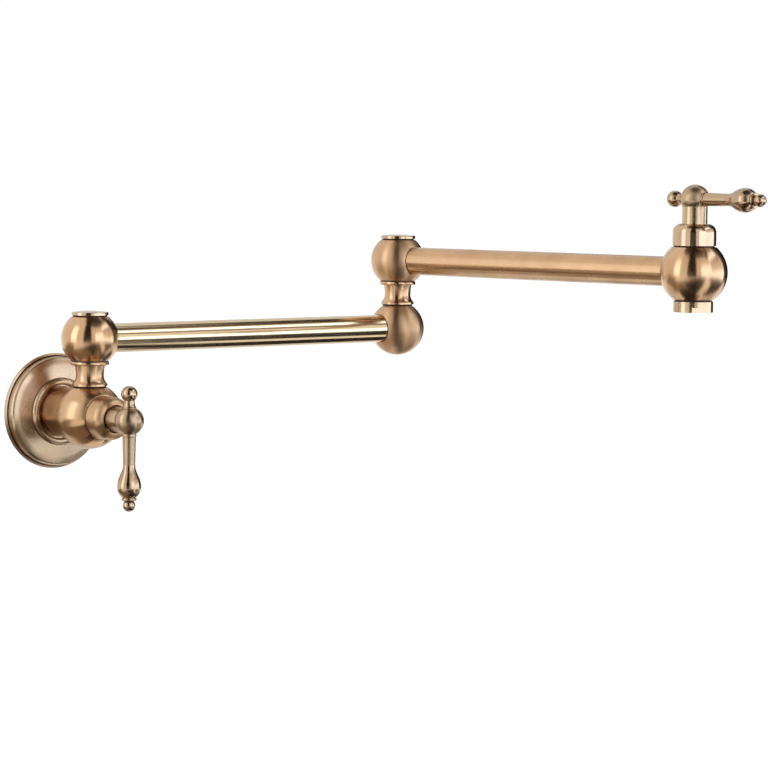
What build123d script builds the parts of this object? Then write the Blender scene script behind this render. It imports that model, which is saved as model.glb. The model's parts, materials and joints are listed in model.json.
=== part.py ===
from build123d import *
from math import asin, cos, degrees, radians, sin, sqrt
import os

# A wall mounted pot filler: a valve on a wall flange, two swinging arms and a second valve over
# the spout. Millimetres. The origin is the centre of the flange's back on the wall, +Z is up and
# the room is towards -Y.

# ---------------------------------------------------------------- driving dimensions
# Layout
arm_length = 257.0            # between the two ball centres of either arm
lower_arm_heading = 90.0      # degrees from straight out of the wall, at rest along the wall
upper_arm_heading = 10.0      # degrees from straight out of the wall, at rest
valve_reach = 44.5            # wall to the centre of the wall valve's ball
spout_lever_turn = 6.0        # degrees that the spout's lever stands short of fully open, at rest

# Balls, with the heights of the flats turned on them, from the ball's centre
swivel_ball_radius = 19.0
valve_ball_radius = 22.0
cap_seat = 14.6
swivel_foot = 14.0
elbow_collar_seat = 16.2
valve_collar_seat = 18.7
bonnet_seat = 16.5
aerator_seat = 17.9

# Arm tubes
tube_radius = 9.7
tube_wall = 2.0
swivel_tube_start = 12.0      # ball centre to the tube's end inside a swivel ball
valve_tube_start = 15.5       # the same inside the spout valve's ball
arm_port_radius = 7.0

# Wall flange, heights from the wall
flange_radius = 38.6
flange_lip = 1.2
lip_width = 1.4
lip_slope = 0.5               # how much higher the lip's inner edge is
dome_height = 8.2
crest_shift = 1.0             # of the dome's crest, outwards from halfway to the bead
bead_foot_rise = 1.2          # from the dome's crest to the bead's outer edge
bead_gap = 1.1                # between the bead and the barrel
bead_width = 4.1
bead_height = 12.0
bead_drop = 1.6               # from the bead's crown to its inner edge
flange_shell = 2.0
flange_neck_wall = 2.5
dome_foot_way = (-0.25, 1)    # the way in which the dome leaves its foot, as radius and height
bead_foot_way = (-0.85, 0.5)  # the way in which it meets the bead
shell_foot_way = (0.1, -1)    # the way in which its inner face meets the rim
barrel_radius = 16.8
barrel_start = 4.5            # wall to the back end of the valve's barrel

# Wall connection, a half inch parallel pipe thread
thread_radius = 10.48
thread_length = 20.0
nipple_bore_radius = 7.5
nipple_hex = 24.0
nipple_hex_height = 3.5
nipple_depth = 16.0           # how far the nipple's front end reaches into the barrel
filter_height = 1.5
mesh_pitch = 2.4
mesh_bar = 0.7
mesh_thickness = 0.5
mesh_count = 5                # holes along a row of the filter's mesh
water_port_radius = 6.0

# Ceramic cartridge, heights along the spindle from the ball's centre
pocket_radius = 10.0
pocket_floor = -9.5
seal_height = 1.5
fixed_disc_height = 3.0
moving_disc_height = 3.5
disc_radius = 7.4
disc_port_inner = 1.8
disc_port_outer = 5.8
disc_port_angle = 80.0
tang_width = 4.0
tang_depth = 1.0
sleeve_wall = 1.1
window_width = 7.0
window_height = 3.6
spindle_radius = 4.0
spindle_collar_height = 1.0
chamber_top = 3.5
cartridge_thread_start = 5.0
upstand_wall = 2.0            # round the pocket, carrying the bonnet's thread
upstand_height = 3.0
cartridge_hex_height = 4.5
gland_radius = 6.5
gland_top = 28.5
square_width = 5.6
square_end = 45.2

# Bonnet over the cartridge
bonnet_radius = 14.2
bonnet_side = 9.5
bonnet_height = 15.0
bonnet_mouth_radius = 8.9
bonnet_shell = 2.0

# Handle: a ball hub with a long lever and a short finial, lengths from the hub's centre
hub_height = 47.5             # above the valve ball's centre
hub_radius = 9.5
neck_radius = 8.2
neck_overlap = 1.5            # how far the hub's neck reaches into the bonnet's mouth
spigot_radius = 2.9
spigot_end = 5.2
lever_collar_radius = 4.7
lever_collar_length = 1.5
lever_root_radius = 4.35
lever_waist_radius = 3.95
lever_waist = 28.0
lever_bulb_radius = 7.85
lever_bulb = 43.0
lever_bulb_pull = (1.2, 1.4)  # how far the bulb's curve keeps its direction at the waist and bulb
lever_ring_radius = 4.7
lever_ring_width = 1.4
lever_ring_bulge = 0.35
lever_ring_step = 0.3         # between the bulb and the ring
lever_tip_neck_radius = 2.6
lever_tip_radius = 4.15
lever_tip = 54.7
finial_root_radius = 4.6
finial_rim = 0.5
finial_flare = 1.6            # length of the flare's nearly straight end
finial_flare_rise = 0.2       # how much wider the flare is there than the waist
finial_waist_radius = 3.5
finial_waist = 11.6
finial_ball_radius = 5.35
finial_ball = 17.4
screw_radius = 2.0
screw_height = 36.5           # of the grub screw in the hub's neck, above the valve ball's centre
screw_socket = 2.0
screw_sink = 0.4              # of the screw's end below the neck's surface

# Swivels: a hollow post through a turned collar into the ball
post_radius = 6.5
post_bore_radius = 4.0
post_thread = 6.7             # how far the post screws into the piece below
post_port_radius = 2.4
collar_height = 17.0
collar_top_radius = 12.7
collar_neck_radius = 9.9      # right under the bead
collar_waist_radius = 9.2
collar_waist = 7.5            # from the foot to the waist
collar_foot_radius = 11.6
collar_band = 2.4
collar_foot_band = 1.4
washer_height = 0.8
washer_radius = 12.2
chamber_radius = 10.0
chamber_half_height = 3.5
nut_pocket_radius = 10.4
nut_pocket_floor = 7.5
top_washer_height = 1.0
top_washer_gap = 0.4
nut_height = 4.0
nut_hex = 15.0
cap_radius = 12.2
cap_side = 2.2
cap_dome = 0.8
cap_skirt_wall = 1.5
cap_skirt_height = 1.6

# O-rings
ring_section = 0.6            # radius of the rubber's round section
groove_width = 1.6
lower_ring = -9.0             # heights in a swivel ball
upper_ring = 5.5
spindle_ring = 12.0           # height in a valve
flange_ring = 6.4             # from the wall

# Spout
aerator_radius = 13.0
aerator_height = 7.8
aerator_spigot_radius = 10.9
aerator_spigot_height = 4.7
aerator_bore_radius = 9.8
aerator_lip = 1.0
aerator_lip_radius = 9.0
spanner_flat = 11.7           # from the axis to each of the two spanner flats
spanner_flat_height = 3.2
spanner_flat_angle = -31.0    # of the flats' direction from the upper arm's
insert_height = 8.7
insert_floor = 1.6
insert_hole_radius = 0.9
insert_hole_pitch = 2.9
insert_hole_rows = 5
washer_bore_radius = 6.0

# Wall gasket
gasket_width = 7.1
gasket_height = 1.4

# Clearances
running = 0.05                # radial, between a shaft and the bore it turns in
thread_gap = 0.1              # radial, between a screwed piece and its hole
socket_gap = 0.05             # radial, between a tube and the socket it is brazed into
blind_gap = 0.5               # past the end of a screwed piece
edge_break = 0.4              # width of a broken edge

# ---------------------------------------------------------------- derived sizes
arm_direction_down = Vector(sin(radians(lower_arm_heading)), -cos(radians(lower_arm_heading)), 0)
arm_direction_up = Vector(sin(radians(upper_arm_heading)), -cos(radians(upper_arm_heading)), 0)
spout_lever_heading = upper_arm_heading - spout_lever_turn
lever_direction = Vector(sin(radians(spout_lever_heading)), -cos(radians(spout_lever_heading)), 0)

swivel_rise = swivel_foot + washer_height + collar_height
valve_centre = Vector(0, -valve_reach, 0)
shoulder_centre = valve_centre + Vector(0, 0, valve_collar_seat + swivel_rise)
elbow_low_centre = shoulder_centre + arm_direction_down * arm_length
elbow_centre = elbow_low_centre + Vector(0, 0, elbow_collar_seat + swivel_rise)
spout_centre = elbow_centre + arm_direction_up * arm_length

upright = Vector(0, 0, 1)
wall_plane = Plane(origin=(0, 0, 0), x_dir=(0, 0, -1), z_dir=(0, -1, 0))
wall_valve = Plane(origin=valve_centre, x_dir=(0, 0, -1), z_dir=(0, -1, 0))
outlet_valve = Plane(origin=spout_centre, x_dir=arm_direction_up, z_dir=upright)
outlet_handle = Plane(origin=spout_centre, x_dir=lever_direction, z_dir=upright)
shoulder = Plane(origin=shoulder_centre, x_dir=arm_direction_down, z_dir=upright)
elbow_low = Plane(origin=elbow_low_centre, x_dir=arm_direction_down * -1, z_dir=upright)
elbow = Plane(origin=elbow_centre, x_dir=arm_direction_up, z_dir=upright)

dome_radius = flange_radius - lip_width
dome_inner_radius = dome_radius - flange_shell
bead_inner_radius = barrel_radius + bead_gap
bead_outer_radius = bead_inner_radius + bead_width
gasket_radius = dome_inner_radius - thread_gap

upstand_radius = pocket_radius + upstand_wall
cartridge_hex = 2 * pocket_radius
sleeve_bore_radius = disc_radius + running
sleeve_radius = sleeve_bore_radius + sleeve_wall
disc_start = pocket_floor + seal_height
moving_disc_start = disc_start + fixed_disc_height
moving_disc_top = moving_disc_start + moving_disc_height
upstand_top = bonnet_seat + upstand_height
cartridge_top = upstand_top + cartridge_hex_height
bonnet_top = bonnet_seat + bonnet_height
neck_foot = bonnet_top - neck_overlap
tube_bore_radius = tube_radius - tube_wall
post_top = nut_pocket_floor + top_washer_height + nut_height + blind_gap
insert_start = aerator_seat + aerator_height - aerator_lip

os.makedirs("parts", exist_ok=True)


# ---------------------------------------------------------------- helpers
def flat_radius(ball, height):
    """Radius of the flat that is left when a ball is cut at a height from its centre."""
    return sqrt(ball**2 - height**2)


def profile_of(plane):
    """The plane to draw a turned profile on: x is the radius, y is the height along the axis."""
    return Plane(origin=plane.origin, x_dir=plane.x_dir, z_dir=plane.x_dir.cross(plane.z_dir))


def axis_of(plane):
    return Axis(plane.origin, plane.z_dir)


def facing(plane, direction):
    """A plane at the same origin, with its z axis along a direction square to the old one."""
    return Plane(origin=plane.origin, x_dir=plane.z_dir, z_dir=direction)


def ring(plane, low, high, outer, bore=0.0, mode=Mode.ADD):
    """A straight cylinder or tube about the plane's z axis, from one height to another."""
    with BuildSketch(plane.offset(low)) as section:
        Circle(outer)
        if bore:
            Circle(bore, mode=Mode.SUBTRACT)
    extrude(section.sketch, amount=high - low, mode=mode)


def hexagon(plane, low, high, across_flats):
    """A straight hexagon about the plane's z axis."""
    with BuildSketch(plane.offset(low)) as section:
        RegularPolygon(across_flats / 2, 6, major_radius=False)
    extrude(section.sketch, amount=high - low)


def rubber_ring(plane, height, bore):
    """An O-ring about the plane's z axis, gripping a shaft or groove of the given radius."""
    with BuildSketch(profile_of(plane)) as section:
        with Locations((bore + ring_section, height)):
            Circle(ring_section)
    revolve(section.sketch, axis=axis_of(plane))


def disc_ports(plane, low, high):
    """The two opposite sector ports that a ceramic disc lets water through."""
    with BuildSketch(plane.offset(low)) as ports:
        with BuildLine():
            arc = CenterArc((0, 0), disc_port_outer, -disc_port_angle / 2, disc_port_angle)
            Line((0, 0), arc @ 0)
            Line(arc @ 1, (0, 0))
        make_face()
        mirror(about=Plane.YZ)
        Circle(disc_port_inner, mode=Mode.SUBTRACT)
    extrude(ports.sketch, amount=high - low, mode=Mode.SUBTRACT)


def keep(piece, name):
    """Labels a finished piece and writes it under its own name."""
    piece.part.label = name
    export_step(piece.part, f"parts/{name}.step")


# ---------------------------------------------------------------- wall connection
# Flange: a pressed brass rosette with a thin lip, an ogee dome and a bead round the barrel.
flange_neck_radius = barrel_radius + running
neck_outer_radius = flange_neck_radius + flange_neck_wall
neck_back = nipple_hex_height + blind_gap
dome_crest = (dome_radius + bead_outer_radius) / 2 + crest_shift
inner_crest = dome_height - flange_shell
dome_foot = (dome_radius, flange_lip + lip_slope)
bead_start = (bead_outer_radius, dome_height + bead_foot_rise)
bead_middle = ((bead_outer_radius + bead_inner_radius) / 2, bead_height)
bead_end = (bead_inner_radius, bead_height - bead_drop)
with BuildPart() as wall_flange:
    with BuildSketch(profile_of(wall_plane)):
        with BuildLine():
            Polyline(
                (dome_inner_radius, 0), (flange_radius, 0), (flange_radius, flange_lip), dome_foot
            )
            rise = TangentArc(dome_foot, (dome_crest, dome_height), tangent=dome_foot_way)
            Spline(rise @ 1, bead_start, tangents=(rise % 1, bead_foot_way))
            ThreePointArc(bead_start, bead_middle, bead_end)
            Polyline(
                bead_end,
                (bead_inner_radius, dome_height),
                (flange_neck_radius, dome_height),
                (flange_neck_radius, neck_back),
                (neck_outer_radius, neck_back),
                (neck_outer_radius, inner_crest),
                (dome_crest, inner_crest),
            )
            Spline(
                (dome_crest, inner_crest),
                (dome_inner_radius, flange_lip),
                tangents=((1, 0), shell_foot_way),
            )
            Line((dome_inner_radius, flange_lip), (dome_inner_radius, 0))
        make_face()
    revolve(axis=axis_of(wall_plane))
    ring(
        wall_plane,
        flange_ring - groove_width / 2,
        flange_ring + groove_width / 2,
        barrel_radius + 2 * ring_section + running,
        mode=Mode.SUBTRACT,
    )
keep(wall_flange, "wall_flange")

with BuildPart() as flange_o_ring:
    rubber_ring(wall_plane, flange_ring, barrel_radius)
keep(flange_o_ring, "flange_o_ring")

with BuildPart() as wall_gasket:
    ring(wall_plane, 0, gasket_height, gasket_radius, gasket_radius - gasket_width)
keep(wall_gasket, "wall_gasket")

# Nipple: its thread screws into the pipe in the wall, its other end into the valve's barrel.
with BuildPart() as inlet_nipple:
    ring(wall_plane, -thread_length, barrel_start + nipple_depth, thread_radius)
    hexagon(wall_plane, 0, nipple_hex_height, nipple_hex)
    ring(
        wall_plane,
        -thread_length,
        barrel_start + nipple_depth,
        nipple_bore_radius,
        mode=Mode.SUBTRACT,
    )
keep(inlet_nipple, "inlet_nipple")

with BuildPart() as nipple_washer:
    ring(
        wall_plane,
        nipple_hex_height,
        barrel_start,
        nipple_hex / 2,
        thread_radius + thread_gap,
    )
keep(nipple_washer, "nipple_washer")

filter_start = barrel_start + nipple_depth
with BuildPart() as inlet_filter:
    ring(wall_plane, filter_start, filter_start + filter_height, thread_radius, water_port_radius)
    with BuildSketch(wall_plane.offset(filter_start + filter_height / 2)):
        Circle(water_port_radius)
        with GridLocations(mesh_pitch, mesh_pitch, mesh_count, mesh_count):
            Rectangle(mesh_pitch - mesh_bar, mesh_pitch - mesh_bar, mode=Mode.SUBTRACT)
    extrude(amount=mesh_thickness)
keep(inlet_filter, "inlet_filter")

# ---------------------------------------------------------------- valve bodies
# Wall valve: a ball on a barrel, with a flat on top for the shoulder's collar.
barrel_back = barrel_start - valve_reach
shoulder_post_foot = valve_collar_seat - post_thread
with BuildPart() as wall_valve_body:
    with BuildSketch(profile_of(wall_valve)):
        with BuildLine():
            Polyline(
                (0, upstand_top),
                (0, barrel_back),
                (barrel_radius, barrel_back),
                (barrel_radius, -flat_radius(valve_ball_radius, barrel_radius)),
            )
            ThreePointArc(
                (barrel_radius, -flat_radius(valve_ball_radius, barrel_radius)),
                (valve_ball_radius, 0),
                (flat_radius(valve_ball_radius, bonnet_seat), bonnet_seat),
            )
            Polyline(
                (flat_radius(valve_ball_radius, bonnet_seat), bonnet_seat),
                (upstand_radius, bonnet_seat),
                (upstand_radius, upstand_top),
                (0, upstand_top),
            )
        make_face()
    revolve(axis=axis_of(wall_valve))
    over_valve = Plane(origin=valve_centre, x_dir=arm_direction_down, z_dir=upright)
    ring(
        over_valve,
        valve_collar_seat,
        valve_ball_radius + blind_gap,
        valve_ball_radius,
        mode=Mode.SUBTRACT,
    )
    ring(wall_valve, pocket_floor, upstand_top, pocket_radius, mode=Mode.SUBTRACT)
    nipple_socket = filter_start + filter_height - valve_reach
    ring(wall_valve, nipple_socket, pocket_floor, water_port_radius, mode=Mode.SUBTRACT)
    ring(wall_valve, barrel_back, nipple_socket, thread_radius + thread_gap, mode=Mode.SUBTRACT)
    ring(over_valve, 0, shoulder_post_foot, post_bore_radius, mode=Mode.SUBTRACT)
    ring(
        over_valve,
        shoulder_post_foot,
        valve_collar_seat,
        post_radius + thread_gap,
        mode=Mode.SUBTRACT,
    )
keep(wall_valve_body, "wall_valve_body")

# Spout valve: the same ball, with the arm's tube in its side and the aerator under it.
with BuildPart() as outlet_valve_body:
    with BuildSketch(profile_of(outlet_valve)):
        with BuildLine():
            Polyline(
                (0, upstand_top),
                (0, -aerator_seat),
                (flat_radius(valve_ball_radius, aerator_seat), -aerator_seat),
            )
            ThreePointArc(
                (flat_radius(valve_ball_radius, aerator_seat), -aerator_seat),
                (valve_ball_radius, 0),
                (flat_radius(valve_ball_radius, bonnet_seat), bonnet_seat),
            )
            Polyline(
                (flat_radius(valve_ball_radius, bonnet_seat), bonnet_seat),
                (upstand_radius, bonnet_seat),
                (upstand_radius, upstand_top),
                (0, upstand_top),
            )
        make_face()
    revolve(axis=axis_of(outlet_valve))
    ring(outlet_valve, pocket_floor, upstand_top, pocket_radius, mode=Mode.SUBTRACT)
    ring(outlet_valve, -aerator_seat, pocket_floor, water_port_radius, mode=Mode.SUBTRACT)
    ring(
        outlet_valve,
        -aerator_seat,
        -aerator_seat + aerator_spigot_height + blind_gap,
        aerator_spigot_radius + thread_gap,
        mode=Mode.SUBTRACT,
    )
    tube_side = facing(outlet_valve, arm_direction_up * -1)
    ring(
        tube_side,
        valve_tube_start,
        valve_ball_radius,
        tube_radius + socket_gap,
        mode=Mode.SUBTRACT,
    )
    ring(tube_side, 0, valve_tube_start, arm_port_radius, mode=Mode.SUBTRACT)
keep(outlet_valve_body, "outlet_valve_body")

# ---------------------------------------------------------------- both valve heads
for side, seat, handle in (
    ("wall", wall_valve, wall_valve),
    ("outlet", outlet_valve, outlet_handle),
):
    spin = axis_of(seat)
    across = facing(seat, seat.x_dir)

    with BuildPart() as disc_seal:
        ring(seat, pocket_floor, disc_start, disc_radius, water_port_radius)
    keep(disc_seal, f"{side}_disc_seal")

    with BuildPart() as fixed_disc:
        ring(seat, disc_start, moving_disc_start, disc_radius)
        disc_ports(seat, disc_start, moving_disc_start)
    keep(fixed_disc, f"{side}_fixed_disc")

    with BuildPart() as moving_disc:
        ring(handle, moving_disc_start, moving_disc_top, disc_radius)
        disc_ports(handle, moving_disc_start, moving_disc_top)
        with BuildSketch(handle.offset(moving_disc_top - tang_depth)):
            Rectangle(tang_width + 2 * running, 2 * disc_radius)
        extrude(amount=tang_depth, mode=Mode.SUBTRACT)
    keep(moving_disc, f"{side}_moving_disc")

    # Cartridge body: a windowed sleeve round the discs, a thread, a hexagon and a gland tube.
    with BuildPart() as cartridge_body:
        ring(seat, disc_start, cartridge_thread_start, sleeve_radius)
        ring(seat, cartridge_thread_start, upstand_top, pocket_radius - thread_gap)
        hexagon(seat, upstand_top, cartridge_top, cartridge_hex)
        ring(seat, cartridge_top, gland_top, gland_radius)
        ring(seat, disc_start, chamber_top, sleeve_bore_radius, mode=Mode.SUBTRACT)
        ring(seat, chamber_top, gland_top, spindle_radius + running, mode=Mode.SUBTRACT)
        with BuildSketch(across):
            with Locations((chamber_top - window_height / 2 - blind_gap, 0)):
                Rectangle(window_height, window_width)
        extrude(amount=pocket_radius, both=True, mode=Mode.SUBTRACT)
    keep(cartridge_body, f"{side}_cartridge_body")

    # Spindle: a tang that turns the moving disc, a stop collar, a grooved stem and a square end.
    collar_top = chamber_top - running
    collar_start = collar_top - spindle_collar_height
    with BuildPart() as spindle:
        with BuildSketch(handle.offset(moving_disc_top - tang_depth)):
            Rectangle(tang_width, 2 * disc_port_outer)
        extrude(amount=collar_start - moving_disc_top + tang_depth)
        ring(seat, collar_start, collar_top, disc_radius)
        ring(seat, collar_top, neck_foot, spindle_radius)
        with BuildSketch(handle.offset(neck_foot)):
            Rectangle(square_width, square_width)
        extrude(amount=square_end - neck_foot)
        ring(
            seat,
            spindle_ring - groove_width / 2,
            spindle_ring + groove_width / 2,
            spindle_radius,
            spindle_radius - 2 * ring_section,
            mode=Mode.SUBTRACT,
        )
    keep(spindle, f"{side}_spindle")

    with BuildPart() as spindle_o_ring:
        rubber_ring(seat, spindle_ring, spindle_radius - 2 * ring_section)
    keep(spindle_o_ring, f"{side}_spindle_o_ring")

    # Bonnet: a straight cup with a round shoulder, screwed over the body's upstand.
    side_top = bonnet_seat + bonnet_side
    with BuildPart() as bonnet:
        with BuildSketch(profile_of(seat)):
            with BuildLine():
                Polyline(
                    (upstand_radius + thread_gap, bonnet_seat),
                    (bonnet_radius, bonnet_seat),
                    (bonnet_radius, side_top),
                )
                shoulder_arc = TangentArc(
                    (bonnet_radius, side_top), (bonnet_mouth_radius + edge_break, bonnet_top), tangent=(0, 1)
                )
                Polyline(
                    shoulder_arc @ 1,
                    (bonnet_mouth_radius, bonnet_top - edge_break),
                    (bonnet_mouth_radius, bonnet_top - bonnet_shell),
                    (upstand_radius + thread_gap, side_top - blind_gap),
                    (upstand_radius + thread_gap, bonnet_seat),
                )
            make_face()
        revolve(axis=spin)
    keep(bonnet, f"{side}_bonnet")

    # Handle hub: a ball on a neck, with flats for the lever and the finial.
    hub = handle.offset(hub_height)
    lever_side = facing(hub, handle.x_dir)
    finial_side = facing(hub, handle.x_dir * -1)
    lever_seat = flat_radius(hub_radius, lever_collar_radius)
    finial_seat = flat_radius(hub_radius, finial_root_radius)
    neck_top = -flat_radius(hub_radius, neck_radius)
    with BuildPart() as handle_hub:
        with BuildSketch(profile_of(hub)):
            with BuildLine():
                Polyline(
                    (0, hub_radius),
                    (0, neck_foot - hub_height),
                    (neck_radius, neck_foot - hub_height),
                    (neck_radius, neck_top),
                )
                ThreePointArc((neck_radius, neck_top), (hub_radius, 0), (0, hub_radius))
            make_face()
        revolve(axis=spin)
        ring(lever_side, lever_seat, hub_radius, hub_radius, mode=Mode.SUBTRACT)
        ring(lever_side, spigot_end, lever_seat, spigot_radius + thread_gap, mode=Mode.SUBTRACT)
        ring(finial_side, finial_seat, hub_radius, hub_radius, mode=Mode.SUBTRACT)
        ring(finial_side, spigot_end, finial_seat, spigot_radius + thread_gap, mode=Mode.SUBTRACT)
        with BuildSketch(handle.offset(neck_foot)):
            Rectangle(square_width + 2 * running, square_width + 2 * running)
        extrude(amount=square_end - neck_foot, mode=Mode.SUBTRACT)
        screw_side = facing(handle.offset(screw_height), handle.y_dir)
        ring(
            screw_side,
            square_width / 2,
            neck_radius + blind_gap,
            screw_radius + thread_gap,
            mode=Mode.SUBTRACT,
        )
    keep(handle_hub, f"{side}_handle_hub")

    with BuildPart() as set_screw:
        ring(screw_side, square_width / 2, neck_radius - screw_sink, screw_radius)
        with BuildSketch(screw_side.offset(neck_radius - screw_sink)):
            RegularPolygon(screw_socket / 2, 6, major_radius=False)
        extrude(amount=-screw_socket, mode=Mode.SUBTRACT)
    keep(set_screw, f"{side}_set_screw")

    # Lever: collar, tapering shaft, drop shaped bulb, thin ring and a tip ball.
    lever_bulb_end = lever_bulb + flat_radius(lever_bulb_radius, lever_tip_radius)
    ring_start = lever_bulb_end + lever_ring_step
    ring_end = ring_start + lever_ring_width
    tip_foot = lever_tip - flat_radius(lever_tip_radius, lever_tip_neck_radius)
    with BuildPart() as handle_lever:
        with BuildSketch(profile_of(lever_side)):
            with BuildLine():
                Polyline(
                    (0, spigot_end),
                    (spigot_radius, spigot_end),
                    (spigot_radius, lever_seat),
                    (lever_collar_radius, lever_seat),
                    (lever_collar_radius, lever_seat + lever_collar_length),
                    (lever_root_radius, lever_seat + lever_collar_length + edge_break),
                    (lever_waist_radius, lever_waist),
                )
                Spline(
                    (lever_waist_radius, lever_waist),
                    (lever_bulb_radius, lever_bulb),
                    tangents=((0, 1), (0, 1)),
                    tangent_scalars=lever_bulb_pull,
                )
                CenterArc(
                    (0, lever_bulb),
                    lever_bulb_radius,
                    0,
                    degrees(asin((lever_bulb_end - lever_bulb) / lever_bulb_radius)),
                )
                Polyline(
                    (lever_tip_radius, lever_bulb_end),
                    (lever_tip_radius, ring_start),
                    (lever_ring_radius, ring_start),
                )
                ThreePointArc(
                    (lever_ring_radius, ring_start),
                    (lever_ring_radius + lever_ring_bulge, (ring_start + ring_end) / 2),
                    (lever_ring_radius, ring_end),
                )
                Polyline(
                    (lever_ring_radius, ring_end),
                    (lever_tip_neck_radius, ring_end),
                    (lever_tip_neck_radius, tip_foot),
                )
                ThreePointArc(
                    (lever_tip_neck_radius, tip_foot),
                    (lever_tip_radius, lever_tip),
                    (0, lever_tip + lever_tip_radius),
                )
                Line((0, lever_tip + lever_tip_radius), (0, spigot_end))
            make_face()
        revolve(axis=axis_of(lever_side))
    keep(handle_lever, f"{side}_handle_lever")

    # Finial: a flared foot, a waist and a ball.
    finial_ball_foot = finial_ball - flat_radius(finial_ball_radius, finial_waist_radius)
    with BuildPart() as handle_finial:
        with BuildSketch(profile_of(finial_side)):
            with BuildLine():
                Polyline(
                    (0, spigot_end),
                    (spigot_radius, spigot_end),
                    (spigot_radius, finial_seat),
                    (finial_root_radius, finial_seat),
                    (finial_root_radius, finial_seat + finial_rim),
                )
                ThreePointArc(
                    (finial_root_radius, finial_seat + finial_rim),
                    (finial_waist_radius + finial_flare_rise, finial_waist - finial_flare),
                    (finial_waist_radius, finial_waist),
                )
                Line(
                    (finial_waist_radius, finial_waist), (finial_waist_radius, finial_ball_foot)
                )
                ThreePointArc(
                    (finial_waist_radius, finial_ball_foot),
                    (finial_ball_radius, finial_ball),
                    (0, finial_ball + finial_ball_radius),
                )
                Line((0, finial_ball + finial_ball_radius), (0, spigot_end))
            make_face()
        revolve(axis=axis_of(finial_side))
    keep(handle_finial, f"{side}_handle_finial")

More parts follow.
